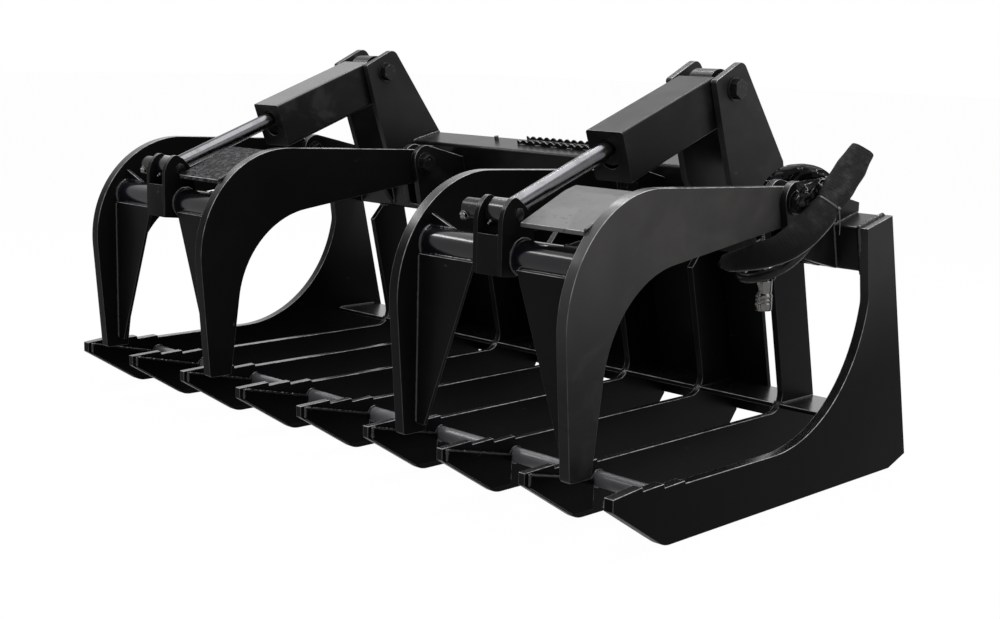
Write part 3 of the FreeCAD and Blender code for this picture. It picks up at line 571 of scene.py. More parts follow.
@dataclass(frozen=True)
class ShrinkWrap:
    """Shiny plastic film drawn tight round the hose, with creases across it and thin pale lines along its folds that
    are painted highlight streaks.
    """

    name: str = "shrink_wrap"
    colour: tuple[float, float, float] = (0.0024, 0.0024, 0.0028)
    # The pale colour of the painted highlight streaks along the folds.
    crease: tuple[float, float, float] = (0.42, 0.42, 0.43)

    def make(self) -> bpy.types.Material:
        """Makes the film."""
        recipe = Recipe(self.name)
        folds = recipe.mottle(15, 2, (1, 1, 1.6), 0.5, 1.2)
        # Thin lines along the folds take the pale colour: painted highlight streaks.
        streak_line = (folds - 0.5).size().step(0.0, 0.016, 1.0, 0.0)
        painted_streak_mask = streak_line * recipe.mottle(26, 2).step(0.47, 0.60)
        return recipe.surface(
            Base_Color=recipe.blend(painted_streak_mask, self.colour, self.crease),
            Roughness=folds.step(0.3, 0.7, 0.10, 0.20),
            Specular_IOR_Level=0.07,
            Normal=recipe.relief(folds, 6.0, 0.7),
        )


@dataclass(frozen=True)
class WovenNylon:
    """Heavy black webbing of the hose sleeve, ribbed across, with a dusty nap, and painted shade that makes it darker
    towards the bottom.
    """

    name: str = "woven_nylon"
    colour: tuple[float, float, float] = (0.0035, 0.0035, 0.004)
    nap: tuple[float, float, float] = (0.050, 0.049, 0.047)
    ribs: float = 330.0
    # The heights, in metres, between which the painted shade gives way to the full colour.
    fade_low: float = 0.50
    fade_high: float = 0.66

    def make(self) -> bpy.types.Material:
        """Makes the cloth."""
        recipe = Recipe(self.name)
        across = recipe.signal("ShaderNodeTexWave", {"bands_direction": "DIAGONAL"},
                               {"Vector": recipe.place, "Scale": self.ribs, "Distortion": 1.2, "Detail": 1.0})
        along = recipe.signal("ShaderNodeTexWave", {"bands_direction": "X"},
                              {"Vector": recipe.place, "Scale": self.ribs * 0.8, "Distortion": 0.8})
        weave = across * 0.6 + along * 0.4
        worn = recipe.mottle(30, 5, rough=0.7).step(0.46, 0.72)
        height = recipe.signal("ShaderNodeSeparateXYZ", None, {0: recipe.place}, "Z")
        # Less nap colour low down: painted shade that makes the sleeve darker towards the bottom.
        painted_shade_by_height = height.step(self.fade_low, self.fade_high, 0.06, 1.0)
        shade = ((worn * 0.55 + weave * 0.40) * painted_shade_by_height).at_most(1.0)
        return recipe.surface(
            Base_Color=recipe.blend(shade, self.colour, self.nap),
            Roughness=worn.step(0.0, 1.0, 0.62, 0.82),
            Specular_IOR_Level=0.04,
            Sheen_Weight=0.015,
            Sheen_Roughness=0.5,
            Normal=recipe.relief(weave, 0.5, 0.8, recipe.relief(recipe.mottle(75, 3, (1, 1, 1.5), 0.6, 1.0), 1.2, 0.6)),
        )


@dataclass(frozen=True)
class DullPlastic:
    """Black nylon of the cable ties."""

    name: str = "tie_plastic"

    def make(self) -> bpy.types.Material:
        """Makes the plastic."""
        recipe = Recipe(self.name)
        cloud = recipe.mottle(60, 3)
        return recipe.surface(
            Base_Color=recipe.blend(cloud, (0.014, 0.014, 0.014), (0.030, 0.030, 0.030)),
            Roughness=cloud.step(0.3, 0.7, 0.30, 0.42),
            Specular_IOR_Level=0.5,
            Normal=recipe.relief(recipe.mottle(300, 2), 0.05, 0.3),
        )


@dataclass
class Paints:
    """Every finish on the tool, made once."""

    enamel: bpy.types.Material = field(default_factory=lambda: Enamel().make())
    fresh: bpy.types.Material = field(default_factory=lambda: Enamel(
        name="fresh_enamel", specular=0.035, dust_share=0.12, upright_share=0.10, sheen_up=1.0).make())
    side: bpy.types.Material = field(default_factory=lambda: Enamel(
        name="side_enamel", colour=(0.0014, 0.0014, 0.0016), specular=0.020, dust_share=0.08,
        upright_share=0.05, haze=0.62, haze_low=0.20, haze_high=0.55, sheen_up=1.0).make())
    grey_arm: bpy.types.Material = field(default_factory=lambda: Enamel(
        name="arm_enamel", specular=0.08, dull=0.60, dust_share=0.5, upright_share=0.4, haze=0.85,
        haze_low=0.24, haze_high=0.62, sheen_up=1.0).make())
    tower: bpy.types.Material = field(default_factory=lambda: Enamel(
        name="tower_enamel", specular=0.09, dust_share=0.45, upright_share=0.3, haze=0.28,
        haze_low=0.5, haze_high=0.8).make())
    # The two cover enamels are a lit and a shaded copy of one paint: the first has painted light on the left cover, the
    # second painted shade on the right cover.
    pale_cover: bpy.types.Material = field(default_factory=lambda: Enamel(
        name="pale_cover_enamel", dust_share=0.6, upright_share=0.55, sheen_up=1.0, sheen_rough=0.2).make())
    dark_cover: bpy.types.Material = field(default_factory=lambda: Enamel(
        name="dark_cover_enamel", specular=0.10, upright_share=0.3, sheen_up=0.08).make())
    glossy: bpy.types.Material = field(default_factory=lambda: Enamel(
        name="glossy_enamel", colour=(0.0024, 0.0024, 0.0036), gloss=0.12, dull=0.26, specular=0.27,
        dust_share=0.2, waves=1.4, sheen_up=0.8, sheen_rough=0.12).make())
    rail: bpy.types.Material = field(default_factory=lambda: Enamel(
        name="rail_enamel", dust=(0.100, 0.098, 0.106), gloss=0.20, specular=0.20, dust_share=0.6,
        upright_share=0.5, haze=0.75, haze_low=-0.2, haze_high=-0.1, sheen_up=1.0).make())
    tooth: bpy.types.Material = field(default_factory=lambda: Enamel(
        name="tooth_enamel", colour=(0.0013, 0.0013, 0.0015), gloss=0.18, dull=0.34, specular=0.02, peel=0.5,
        waves=2.4, dust_share=0.10, upright_share=0.0).make())
    bead: bpy.types.Material = field(default_factory=lambda: Enamel(
        name="bead_enamel", gloss=0.16, dull=0.34, specular=0.36, peel=0.5, waves=1.6, dust_share=0.3).make())
    dusty_top: bpy.types.Material = field(default_factory=lambda: Enamel(
        name="dusty_enamel", dust=(0.082, 0.080, 0.078), gloss=0.34, dull=0.46, specular=0.42, dust_share=1.0,
        haze=0.5, haze_low=0.3, haze_high=0.5, waves=0.6, sheen_up=0.0, drips=0.8).make())
    runny: bpy.types.Material = field(default_factory=lambda: RunnyEnamel().make())
    edge: bpy.types.Material = field(default_factory=lambda: ThinEdge().make())
    chrome: bpy.types.Material = field(default_factory=lambda: PolishedRod().make())
    oxide: bpy.types.Material = field(default_factory=lambda: BlackOxide().make())
    plated: bpy.types.Material = field(default_factory=lambda: PlatedSteel().make())
    rubber: bpy.types.Material = field(default_factory=lambda: HoseRubber().make())
    wrap: bpy.types.Material = field(default_factory=lambda: ShrinkWrap().make())
    nylon: bpy.types.Material = field(default_factory=lambda: WovenNylon().make())
    tie: bpy.types.Material = field(default_factory=lambda: DullPlastic().make())
    piping: bpy.types.Material = field(default_factory=lambda: WovenNylon(
        name="pale_piping", colour=(0.10, 0.10, 0.095), nap=(0.34, 0.33, 0.31)).make())


Ring = list[Vector]


def smooth_line(points: Sequence[Vector], step: float, closed: bool = False) -> list[Vector]:
    """Divides a line of straight runs into even steps.

    Args:
        points: the line's corners.
        step: the length of one step, in metres.
        closed: whether the last point joins the first.

    Returns:
        The points a step apart.
    """
    corners = list(points) + ([points[0]] if closed else [])
    spaced = [corners[0].copy()]
    for start, stop in zip(corners, corners[1:]):
        pieces = max(1, round((stop - start).length / step))
        spaced += [start.lerp(stop, i / pieces) for i in range(1, pieces + 1)]
    return spaced[:-1] if closed else spaced


def frames_along(line: Sequence[Vector], first_side: Vector | None = None,
                 closed: bool = False) -> list[tuple[Vector, Vector, Vector, Vector]]:
    """Carries a pair of directions along a line without twist.

    Args:
        line: the line's points.
        first_side: the side direction at the start, or None for any.
        closed: whether the line is a ring.

    Returns:
        For each point: the point, its tangent, its side and its up direction.
    """
    found = []
    side = first_side
    count = len(line)
    for i, point in enumerate(line):
        before = line[i - 1] if i or closed else point
        after = line[(i + 1) % count] if i < count - 1 or closed else point
        tangent = (after - before).normalized()
        if side is None:
            helper = Vector((0, 0, 1)) if abs(tangent.z) < 0.8 else Vector((1, 0, 0))
            side = tangent.cross(helper)
        side = (side - tangent * side.dot(tangent)).normalized()
        found.append((point, tangent, side, tangent.cross(side)))
    return found


def loft(name: str, strips: Iterable[tuple[Sequence[Ring], bool]]) -> bpy.types.Object:
    """Skins rows of rings.

    Args:
        name: the piece's name.
        strips: each is its rings in order, and whether the last ring joins the first. Rings that are left
            open at an end are closed with a fan.

    Returns:
        The piece.
    """
    work = bmesh.new()
    for rings, closed in strips:
        rows = [[work.verts.new(point) for point in ring] for ring in rings]
        pairs = list(zip(rows, rows[1:] + (rows[:1] if closed else [])))
        for low, high in pairs:
            for j in range(len(low)):
                k = (j + 1) % len(low)
                work.faces.new((low[j], low[k], high[k], high[j]))
        if not closed:
            work.faces.new(rows[0][::-1])
            work.faces.new(rows[-1])
    bmesh.ops.recalc_face_normals(work, faces=work.faces)
    for face in work.faces:
        face.smooth = len(face.verts) == 4
    mesh = bpy.data.meshes.new(name)
    work.to_mesh(mesh)
    work.free()
    piece = bpy.data.objects.new(name, mesh)
    bpy.context.scene.collection.objects.link(piece)
    return piece


def ring_at(centre: Vector, side: Vector, up: Vector, radius: float, count: int) -> Ring:
    """A circle of points.

    Args:
        centre: its middle.
        side: its first direction.
        up: its second direction.
        radius: its radius, in metres.
        count: how many points it has.

    Returns:
        The points.
    """
    turns = [2 * math.pi * j / count for j in range(count)]
    return [centre + side * (math.cos(t) * radius) + up * (math.sin(t) * radius) for t in turns]


def turned_rings(centre: Vector, axis: Vector, profile: Sequence[tuple[float, float]], count: int = 28) -> list[Ring]:
    """Turns a profile about an axis.

    Args:
        centre: where the profile's 0 lies.
        axis: the direction of the axis.
        profile: pairs of the distance along the axis and the radius, in millimetres.
        count: points round the axis.

    Returns:
        The rings, one for each pair.
    """
    helper = Vector((0, 0, 1)) if abs(axis.z) < 0.8 else Vector((1, 0, 0))
    side = axis.cross(helper).normalized()
    up = axis.cross(side).normalized()
    return [ring_at(centre + axis * (at * MM), side, up, max(radius, 0.05) * MM, count) for at, radius in profile]


@dataclass
class SubAssembly:
    """Pieces that are made and dressed together, each handed to the body that carries it."""

    frame: dict
    paints: Paints
    made: list[bpy.types.Object] = field(default_factory=list)

    def keep(self, piece: bpy.types.Object, body: str, material: bpy.types.Material, slot: Slot,
             *stands_for: str) -> bpy.types.Object:
        """Dresses a piece and hands it over.

        Args:
            piece: the object, already in place.
            body: the body that carries it.
            material: its finish.
            slot: the record's slot for that finish; not used.
            stands_for: the frame's nodes that it stands for.

        Returns:
            The piece.
        """
        piece.data.materials.clear()
        piece.data.materials.append(material)
        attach(piece, body)
        if stands_for:
            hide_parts(*stands_for)
        self.made.append(piece)
        return piece

    def body_of(self, node: str) -> str:
        """The body that a node belongs to."""
        return self.frame["nodes"][node]["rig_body"]

    def report(self) -> None:
        """Logs each piece of the sub-assembly."""
        for piece in self.made:
            log.info("%s: %s", type(self).__name__, piece.name)


@dataclass
class Steelwork(SubAssembly):
    """Plates, tubes and turned steel: the frame's own solids with softened edges."""

    merge: float = 2e-5
    flat: float = math.radians(0.7)
    sharp: float = math.radians(32)
    lug_bend: float = 11.0

    def eye_faces(self, mesh: bpy.types.Mesh, side: Side) -> None:
        """Gives the faces of a rod's eye the second finish, as only the rod itself is polished."""
        centre = spot(side.value * LAYOUT.clamp_x, LAYOUT.pin_y, LAYOUT.pin_z)
        for polygon in mesh.polygons:
            away = polygon.center - centre
            if math.hypot(away.y, away.z) < (LAYOUT.rod_eye + 1.5) * MM:
                polygon.material_index = 1

    def round_lugs(self, work: bmesh.types.BMesh, side: Side) -> None:
        """Rounds the corners round the tops of a pair of lugs."""
        centre = spot(side.value * LAYOUT.clamp_x, LAYOUT.pin_y, LAYOUT.pin_z)
        corners = []
        for edge in work.edges:
            start, stop = (vertex.co for vertex in edge.verts)
            along = stop - start
            away = (start + stop) / 2 - centre
            level = abs(along.x) > 8 * MM and math.hypot(along.y, along.z) < 0.1 * MM
            if level and away.z > -24 * MM and math.hypot(away.y, away.z) > 18 * MM:
                corners.append(edge)
        bmesh.ops.bevel(work, geom=corners, offset=self.lug_bend * MM, segments=5, profile=0.5, affect="EDGES")

    def soften(self, node: str, edge_mm: float, material: bpy.types.Material, slot: Slot,
               segments: int = 2) -> bpy.types.Object:
        """Remakes a node's solid with clean faces and rounded edges.

        Args:
            node: the node that it stands for.
            edge_mm: how wide the rounding is.
            material: its finish.
            slot: the record's slot for that finish.
            segments: steps across the rounding.

        Returns:
            The piece.
        """
        source = self.frame["nodes"][node].data
        work = bmesh.new()
        corners = [work.verts.new(vertex.co) for vertex in source.vertices]
        for polygon in source.polygons:
            work.faces.new([corners[i] for i in polygon.vertices])
        bmesh.ops.remove_doubles(work, verts=work.verts, dist=self.merge)
        bmesh.ops.dissolve_limit(work, angle_limit=self.flat, verts=work.verts, edges=work.edges)
        bmesh.ops.recalc_face_normals(work, faces=work.faces)
        for face in work.faces:
            face.smooth = True
        if node.endswith("_rod_lugs"):
            self.round_lugs(work, Side[node.split("_")[0].upper()])
        mesh = bpy.data.meshes.new(f"{node}_steel")
        work.to_mesh(mesh)
        work.free()
        piece = bpy.data.objects.new(f"{node}_steel", mesh)
        bpy.context.scene.collection.objects.link(piece)
        bevel = piece.modifiers.new("soft_edges", "BEVEL")
        bevel.limit_method = "ANGLE"
        bevel.angle_limit = self.sharp
        bevel.width = edge_mm * MM
        bevel.segments = segments
        weighted = piece.modifiers.new("flat_faces", "WEIGHTED_NORMAL")
        weighted.keep_sharp = False
        weighted.weight = 100
        self.keep(piece, self.body_of(node), material, slot, node)
        if node.endswith("_rod"):
            piece.data.materials.append(self.paints.glossy)
            self.eye_faces(piece.data, Side[node.split("_")[0].upper()])
        elif slot is Slot.PAINT:
            piece.data.materials.append(self.paints.tooth if node == "tooth_plates" else self.paints.edge)
            bevel.material = 1
        return piece

    def finish_of(self, node: str) -> bpy.types.Material:
        """Chooses the enamel of a painted node.

        Args:
            node: the node's name.

        Returns:
            Its finish.
        """
        named = {
            "left_side_plate": self.paints.side, "right_side_plate": self.paints.side,
            "right_outer_arm": self.paints.grey_arm, "left_top_plates": self.paints.runny,
            "right_top_plates": self.paints.dusty_top, "left_cross_tube": self.paints.glossy,
            "right_cross_tube": self.paints.glossy, "left_tower_ears": self.paints.tower,
            "right_tower_ears": self.paints.tower, "tooth_plates": self.paints.tooth,
            # The two covers wear the lit and the shaded copy of one enamel: painted light and painted shade.
            "front_cross_tubes": self.paints.rail, "left_cover": self.paints.pale_cover,
            "right_cover": self.paints.dark_cover,
        }
        fresh = ("tine_", "left_outer", "left_inner", "right_inner", "left_front", "right_front", "left_rod",
                 "right_rod", "lower_shelf", "mount_plate")
        return named.get(node, self.paints.fresh if node.startswith(fresh) else self.paints.enamel)

    def build(self) -> None:
        """Softens every steel node, the thin ones less than the thick ones."""
        for node in self.frame["nodes"]:
            if node in ("hanging_hose", "sleeved_hose", "hose_sleeve", "hose_coupler"):
                continue
            material, slot, edge = self.finish_of(node), Slot.PAINT, 1.2
            if node.endswith(("_rod", "_piston")):
                material, slot, edge = self.paints.chrome, Slot.CHROME, 0.8
            elif node.endswith("_rod_pin") or node in ("hinge_bolts", "hinge_nuts", "base_pins", "base_pin_nuts"):
                material, slot, edge = self.paints.oxide, Slot.DARK_STEEL, 0.8
            elif node.endswith(("_bushes", "_gland")):
                material, slot, edge = self.paints.oxide, Slot.DARK_STEEL, 0.4
            elif node in ("hose_bulkheads", "top_stud"):
                material, slot, edge = self.paints.plated, Slot.BRIGHT_STEEL, 0.6
            elif node in ("step_grip", "front_cross_tubes"):
                edge = 0.7
            elif node.endswith("_cover"):
                edge = 0.9
            self.soften(node, edge, material, slot)


@dataclass(frozen=True)
class Seam:
    """One weld: its corners in order, its size in millimetres, and whether it closes."""

    corners: tuple[Vector, ...]
    size: float = 4.5
    closed: bool = False


@dataclass
class Welds(SubAssembly):
    """Rippled beads along the joints between plates."""

    step: float = 2.4
    ripple: float = 5.2
    around: int = 8

    def bead(self, seam: Seam) -> tuple[list[Ring], bool]:
        """Lays one rippled bead.

        Args:
            seam: the weld's line.

        Returns:
            The bead's rings, and whether they close.
        """
        line = smooth_line(seam.corners, self.step * MM, seam.closed)
        rings = []
        for i, (point, tangent, side, up) in enumerate(frames_along(line, None, seam.closed)):
            wobble = noise.noise(point * 160.0)
            scale = 1.0 + 0.12 * math.sin(2 * math.pi * i * self.step / self.ripple) + 0.22 * wobble
            ends = 1.0 if seam.closed else min(1.0, 0.45 + 0.3 * min(i, len(line) - 1 - i))
            centre = point + side * (noise.noise(point * 90.0) * 0.5 * MM)
            rings.append(ring_at(centre, side, up, seam.size * MM * scale * ends, self.around))
        return rings, seam.closed

    def circle(self, x: float, y: float, z: float, radius: float, size: float,
               start: float = 0.0, stop: float = 360.0) -> Seam:
        """A weld round a tube that lies along X.

        Args:
            x: where the tube meets the plate.
            y: the tube's middle.
            z: the tube's height.
            radius: the tube's radius.
            size: the bead's size.
            start: the angle from +Y where it starts, in degrees.
            stop: the angle where it stops.

        Returns:
            The seam.
        """
        whole = stop - start >= 360.0
        count = max(6, round((stop - start) / 12))
        turns = [math.radians(start + (stop - start) * i / count) for i in range(count + (0 if whole else 1))]
        return Seam(tuple(spot(x, y + radius * math.cos(t), z + radius * math.sin(t)) for t in turns), size, whole)

    def on_frame(self) -> list[Seam]:
        """The welds of the fixed frame."""
        at = LAYOUT
        seams = []
        for k in range(-3, 4):
            for x in (k * at.tine_gap - at.tine_half, k * at.tine_gap + at.tine_half):
                seams.append(Seam((on_back(x, 100, at.beam_floor), on_back(x, 26, at.beam_floor))))
                seams.append(Seam((spot(x, 697, at.shelf_top), spot(x, 832, at.shelf_top)), 4.0))
        for side in (-1, 1):
            x = side * at.side_inside
            beam = tuple(on_back(x, v, u) for v, u in ((1, at.beam_floor), (at.beam, at.beam_floor),
                                                       (at.beam, at.beam_top), (1, at.beam_top)))
            seams.append(Seam(beam, 5.5))
            seams.append(Seam((spot(x, 697, at.shelf_top), spot(x, 832, at.shelf_top)), 4.0))
            end = side * (at.clamp_x - at.tower_outside)
            tube = tuple(on_back(end, v, u) for v, u in ((2, at.beam_top), (at.beam, at.beam_top),
                                                         (at.beam, at.upper_roof), (2, at.upper_roof)))
            seams.append(Seam(tube, 5.0))
            for off in (at.tower_inside, at.tower_outside):
                for way in (-1, 1):
                    if way * side < 0 and off == at.tower_outside:
                        continue
                    foot = side * at.clamp_x + way * off
                    seams.append(Seam((on_back(foot, at.beam, 482), on_back(foot, at.beam, at.beam_top),
                                       on_back(foot, 4, at.beam_top)), 5.0))
            for place in (1.5, 3.5):
                for off in (-at.ear_outside, -at.ear_inside, at.ear_inside, at.ear_outside):
                    ear = side * place * at.tine_gap + off
                    line = [on_back(ear, at.beam, 477), on_back(ear, at.beam, at.beam_top)]
                    if place == 3.5:
                        line.append(on_back(ear, 5, at.beam_top))
                    seams.append(Seam(tuple(line), 4.5))
        starts = [-at.side_inside] + [k * at.tine_gap + at.tine_half for k in range(-3, 4)]
        stops = [k * at.tine_gap - at.tine_half for k in range(-3, 4)] + [at.side_inside]
        for start, stop in zip(starts, stops):
            seams += [self.circle(x, 58, 73, 16.7, 4.2) for x in (start, stop)]
        for x in [start + 4.0 for start in starts] + [at.side_inside - 4.0]:
            edge = (spot(x, -145, 97), spot(x, -145, 118), spot(x, -60, 99), spot(x, 37, 76.4), spot(x, 37, 18))
            seams.append(Seam(edge, 4.6))
        for i in range(5):
            start = -146 + 56 * i
            seams.append(Seam((on_back(start, 54, at.upper_roof), on_back(start + 26, 54, at.upper_roof)), 3.0))
        return seams

    def on_clamp(self, side: Side) -> list[Seam]:
        """The welds of one clamp.

        Args:
            side: which clamp.

        Returns:
            Its seams.
        """
        at = LAYOUT
        middle = side.value * at.clamp_x
        seams = []
        for way in (-1, 1):
            x = middle + way * at.half_inside
            seams.append(self.circle(x, at.cross_y, at.cross_z, at.cross_round, 6.0))
            for y in (at.plate_front, at.plate_back):
                seams.append(Seam((spot(x, y, at.plate_top - 2), spot(x, y, 152)), 4.0))
            seams.append(Seam((spot(x - way * 4, at.plate_front + 6, at.plate_top + 1),
                               spot(x - way * 154, at.plate_front + 6, at.plate_top + 1)), 4.0))
            seams.append(Seam((spot(x - way * 4, at.cross_y - 4, 558), spot(x - way * 68, at.cross_y - 4, 558)), 4.0))
            seams.append(self.circle(middle + way * at.lug_outside, at.cross_y, at.cross_z, at.cross_round, 5.0, 28, 248))
            seams.append(self.circle(middle + way * at.lug_inside, at.cross_y, at.cross_z, at.cross_round, 4.5, 28, 150))
        x = middle + at.half_inside
        for drop in (0.0, 8.5):
            seams.append(Seam((spot(x, -117, 594 - drop), spot(x, 7, 649 - drop), spot(x, 36, 657.5 - drop)), 4.0))
        return seams

    def build(self) -> None:
        """Lays the beads, one piece for each body."""
        self.keep(loft("frame_welds", [self.bead(s) for s in self.on_frame()]), "frame", self.paints.bead, Slot.PAINT)
        for side in Side:
            piece = loft(f"{side.word}_clamp_welds", [self.bead(s) for s in self.on_clamp(side)])
            self.keep(piece, f"{side.word}_clamp", self.paints.bead, Slot.PAINT)


@dataclass
class Fittings(SubAssembly):
    """Small bright and black fittings on each clamp's rod pin and rod eye."""

    bolt_off: float = -92.0
    bolt_head: float = 9.0
    grease_off: float = -14.0
    toward: tuple[float, float] = (-0.81, -0.58)

    def stub(self, name: str, off: float, side: Side, start: float,
             profile: Sequence[tuple[float, float]], count: int) -> list[Ring]:
        """Turns a fitting that points forward and down from the pin's axis.

        Args:
            name: what it is, for the log.
            off: millimetres from the clamp's middle.
            side: which clamp.
            start: how far from the pin's axis its profile starts.
            profile: pairs of distance and radius.
            count: points round it, 6 for a hexagon.

        Returns:
            Its rings.
        """
        axis = Vector((0.0, *self.toward)).normalized()
        centre = spot(side.value * LAYOUT.clamp_x + off, LAYOUT.pin_y, LAYOUT.pin_z) + axis * (start * MM)
        log.debug("%s on the %s clamp", name, side.word)
        return turned_rings(centre, axis, profile, count)

    def build(self) -> None:
        """Makes the bolt through each pin's collar, the hexagon on its end and the grease fitting."""
        for side in Side:
            head = self.bolt_head
            washer = self.stub("washer", self.bolt_off, side, LAYOUT.pin_collar - 1.5,
                               [(0, 3.0), (0, head + 1.5), (2.2, head + 1.5), (2.8, head + 0.8), (2.8, 3.0)], 28)
            bolt = self.stub("bolt", self.bolt_off, side, LAYOUT.pin_collar + 1.3,
                             [(0, 3.0), (0, head - 0.6), (0.8, head), (5.6, head), (6.6, head - 1.2), (6.6, 4.0),
                              (9.5, 3.8), (10.0, 3.2), (10.0, 0.1)], 6)
            piece = loft(f"{side.word}_collar_bolt", [(washer, False), (bolt, False)])
            self.keep(piece, f"{side.word}_clamp", self.paints.plated, Slot.BRIGHT_STEEL)
            nipple = self.stub("grease fitting", self.grease_off, side, LAYOUT.rod_eye - 1.0,
                               [(0, 2.0), (0, 4.4), (3.6, 4.4), (4.0, 3.0), (6.2, 2.5), (7.4, 2.6), (8.8, 3.3),
                                (10.2, 3.1), (11.2, 2.0), (11.4, 0.1)], 14)
            fitting = loft(f"{side.word}_grease_fitting", [(nipple, False)])
            self.keep(fitting, f"{side.word}_piston_rod", self.paints.plated, Slot.BRIGHT_STEEL)
            end = spot(side.value * LAYOUT.clamp_x + LAYOUT.lug_outside - 0.3, LAYOUT.pin_y, LAYOUT.pin_z)
            rings = turned_rings(end, Vector((1, 0, 0)), [(0, 5.0), (0, 13.0), (3.0, 13.0), (4.0, 12.0), (4.0, 0.1)], 6)
            cap = loft(f"{side.word}_pin_hexagon", [(rings, False)])
            self.keep(cap, f"{side.word}_clamp", self.paints.enamel, Slot.PAINT)


@dataclass
class Hoses(SubAssembly):
    """The two hydraulic hoses, the film and the sleeve round them, and the hanging coupler."""

    hose: float = 11.0
    turns: int = 24
    sleeve_wide: float = 32.0
    sleeve_deep: float = 13.5
    sleeve_start: float = 24.0
    sleeve_gather: float = 14.0
    sleeve_open: float = 200.0
    tie_at: float = 540.0
    film_from: float = 545.0
    film_to: float = 722.0
    sleeve_from: float = 0.0
    hanging: tuple[tuple[float, float, float], ...] = (
        (700, 633.46, 496.82), (700, 579.89, 484.36),
        (702, 525, 468), (716, 474, 454), (756, 438, 450), (806, 440, 462), (838, 477, 486), (846, 530, 522),
        (847, 580, 562), (843, 618, 612), (826, 627, 657), (781, 594, 674), (745, 559, 660), (739, 536, 626),
        (745, 529, 585), (746, 529, 542),
    )
    sleeved: tuple[tuple[float, float, float], ...] = (
        (662, 633.46, 496.82), (662, 579.89, 484.36),
        (666, 516, 470), (692, 441, 473), (740, 401, 488), (788, 391, 501), (832, 404, 515), (860, 436, 533),
        (873, 488, 565), (879, 542, 607), (882, 599, 662), (883, 664, 723),
    )

    def curve(self, name: str, points: Sequence[tuple[float, float, float]]) -> bpy.types.Object:
        """Makes a hose as one smooth curve.

        Args:
            name: the piece's name.
            points: its control points.

        Returns:
            The curve object.
        """
        data = bpy.data.curves.new(name, "CURVE")
        data.dimensions = "3D"
        spline = data.splines.new("NURBS")
        spline.points.add(len(points) - 1)
        for point, place in zip(spline.points, points):
            point.co = (*spot(*place), 1.0)
        spline.order_u = 3
        spline.use_endpoint_u = True
        data.resolution_u = 16
        data.bevel_depth = self.hose * MM
        data.bevel_resolution = 8
        data.use_fill_caps = True
        piece = bpy.data.objects.new(name, data)
        bpy.context.scene.collection.objects.link(piece)
        return piece

    def line_of(self, piece: bpy.types.Object) -> list[Vector]:
        """Reads the points of a hose's own line.

        Args:
            piece: the hose's curve.

        Returns:
            The line's points in order.
        """
        bare = piece.copy()
        bare.data = piece.data.copy()
        bare.data.bevel_depth = 0.0
        bpy.context.scene.collection.objects.link(bare)
        bpy.context.view_layer.update()
        mesh = bpy.data.meshes.new_from_object(bare)
        line = [vertex.co.copy() for vertex in mesh.vertices]
        bpy.data.meshes.remove(mesh)
        data = bare.data
        bpy.data.objects.remove(bare)
        bpy.data.curves.remove(data)
        return line

    def stretch(self, line: Sequence[Vector], start: float, stop: float, step: float = 2.5) -> list[Vector]:
        """Takes an even part of a line.

        Args:
            line: the whole line.
            start: millimetres from its start.
            stop: millimetres from its start.
            step: millimetres between points.

        Returns:
            The part's points.
        """
        fine, run, taken, due = smooth_line(line, 0.5 * MM), 0.0, [], start * MM
        for before, after in zip(fine, fine[1:]):
            run += (after - before).length
            if run >= due and run <= stop * MM:
                taken.append(after)
                due += step * MM
        return taken

    def length(self, line: Sequence[Vector]) -> float:
        """The line's length in metres."""
        return sum((b - a).length for a, b in zip(line, line[1:]))

    def wrap(self, line: Sequence[Vector]) -> bpy.types.Object:
        """Draws film round part of a hose, gathered into creases, with a loose fold sagging under it."""
        rings = []
        count = len(line)
        for i, (point, tangent, side, up) in enumerate(frames_along(line)):
            taper = min(1.0, 0.62 + 0.05 * min(i, count - 1 - i))
            slack = math.exp(-((i / count - 0.45) / 0.16) ** 2)
            ring = ring_at(point, side, up, 1.0, 56)
            folded = []
            for place in ring:
                out = place - point
                crease = noise.noise(out * 1.6 + Vector((0, 0, i * 0.12))) * 2.6
                crease += noise.noise(out * 3.4 + Vector((i * 0.22, 0, 0))) * 0.9
                sag = max(0.0, -out.z) ** 3 * slack * (24.0 + 9.0 * noise.noise(out * 2.3 + Vector((i * 0.33, 0, 0))))
                folded.append(point + out * ((19.0 * taper + crease + sag) * MM))
            rings.append(folded)
        return loft("hose_wrap", [(rings, False)])

    def drape(self) -> bpy.types.Object:
        """Hangs the film's loose end over the hinge, from where it clings to the falling hose."""
        rings = []
        for i in range(70):
            run = i / 69
            rise = min(1.0, run / 0.35)
            rise = rise * rise * (3 - 2 * rise)
            y = 604.0 - 146.0 * run
            high, low = 640.0 + 31.0 * rise - 9.0 * run, 574.0 + 34.0 * rise
            loose = 0.35 + 0.65 * rise
            front, back = [], []
            for j in range(26):
                fall = j / 25
                ragged = 7.0 * noise.noise(Vector((y * 0.04, 0.0, 9.0)))
                z = high + (low + ragged - high) * fall
                fold = noise.noise(Vector((y * 0.030, z * 0.055, 2.0))) * 8.0
                fold += noise.noise(Vector((y * 0.085, z * 0.10, 5.0))) * 3.5
                x = 857.0 + (1.5 * rise + fold) * loose
                front.append(spot(x, y, z))
                back.append(spot(x - 1.4, y, z))
            rings.append(front + back[::-1])
        return loft("hose_film_end", [(rings, False)])

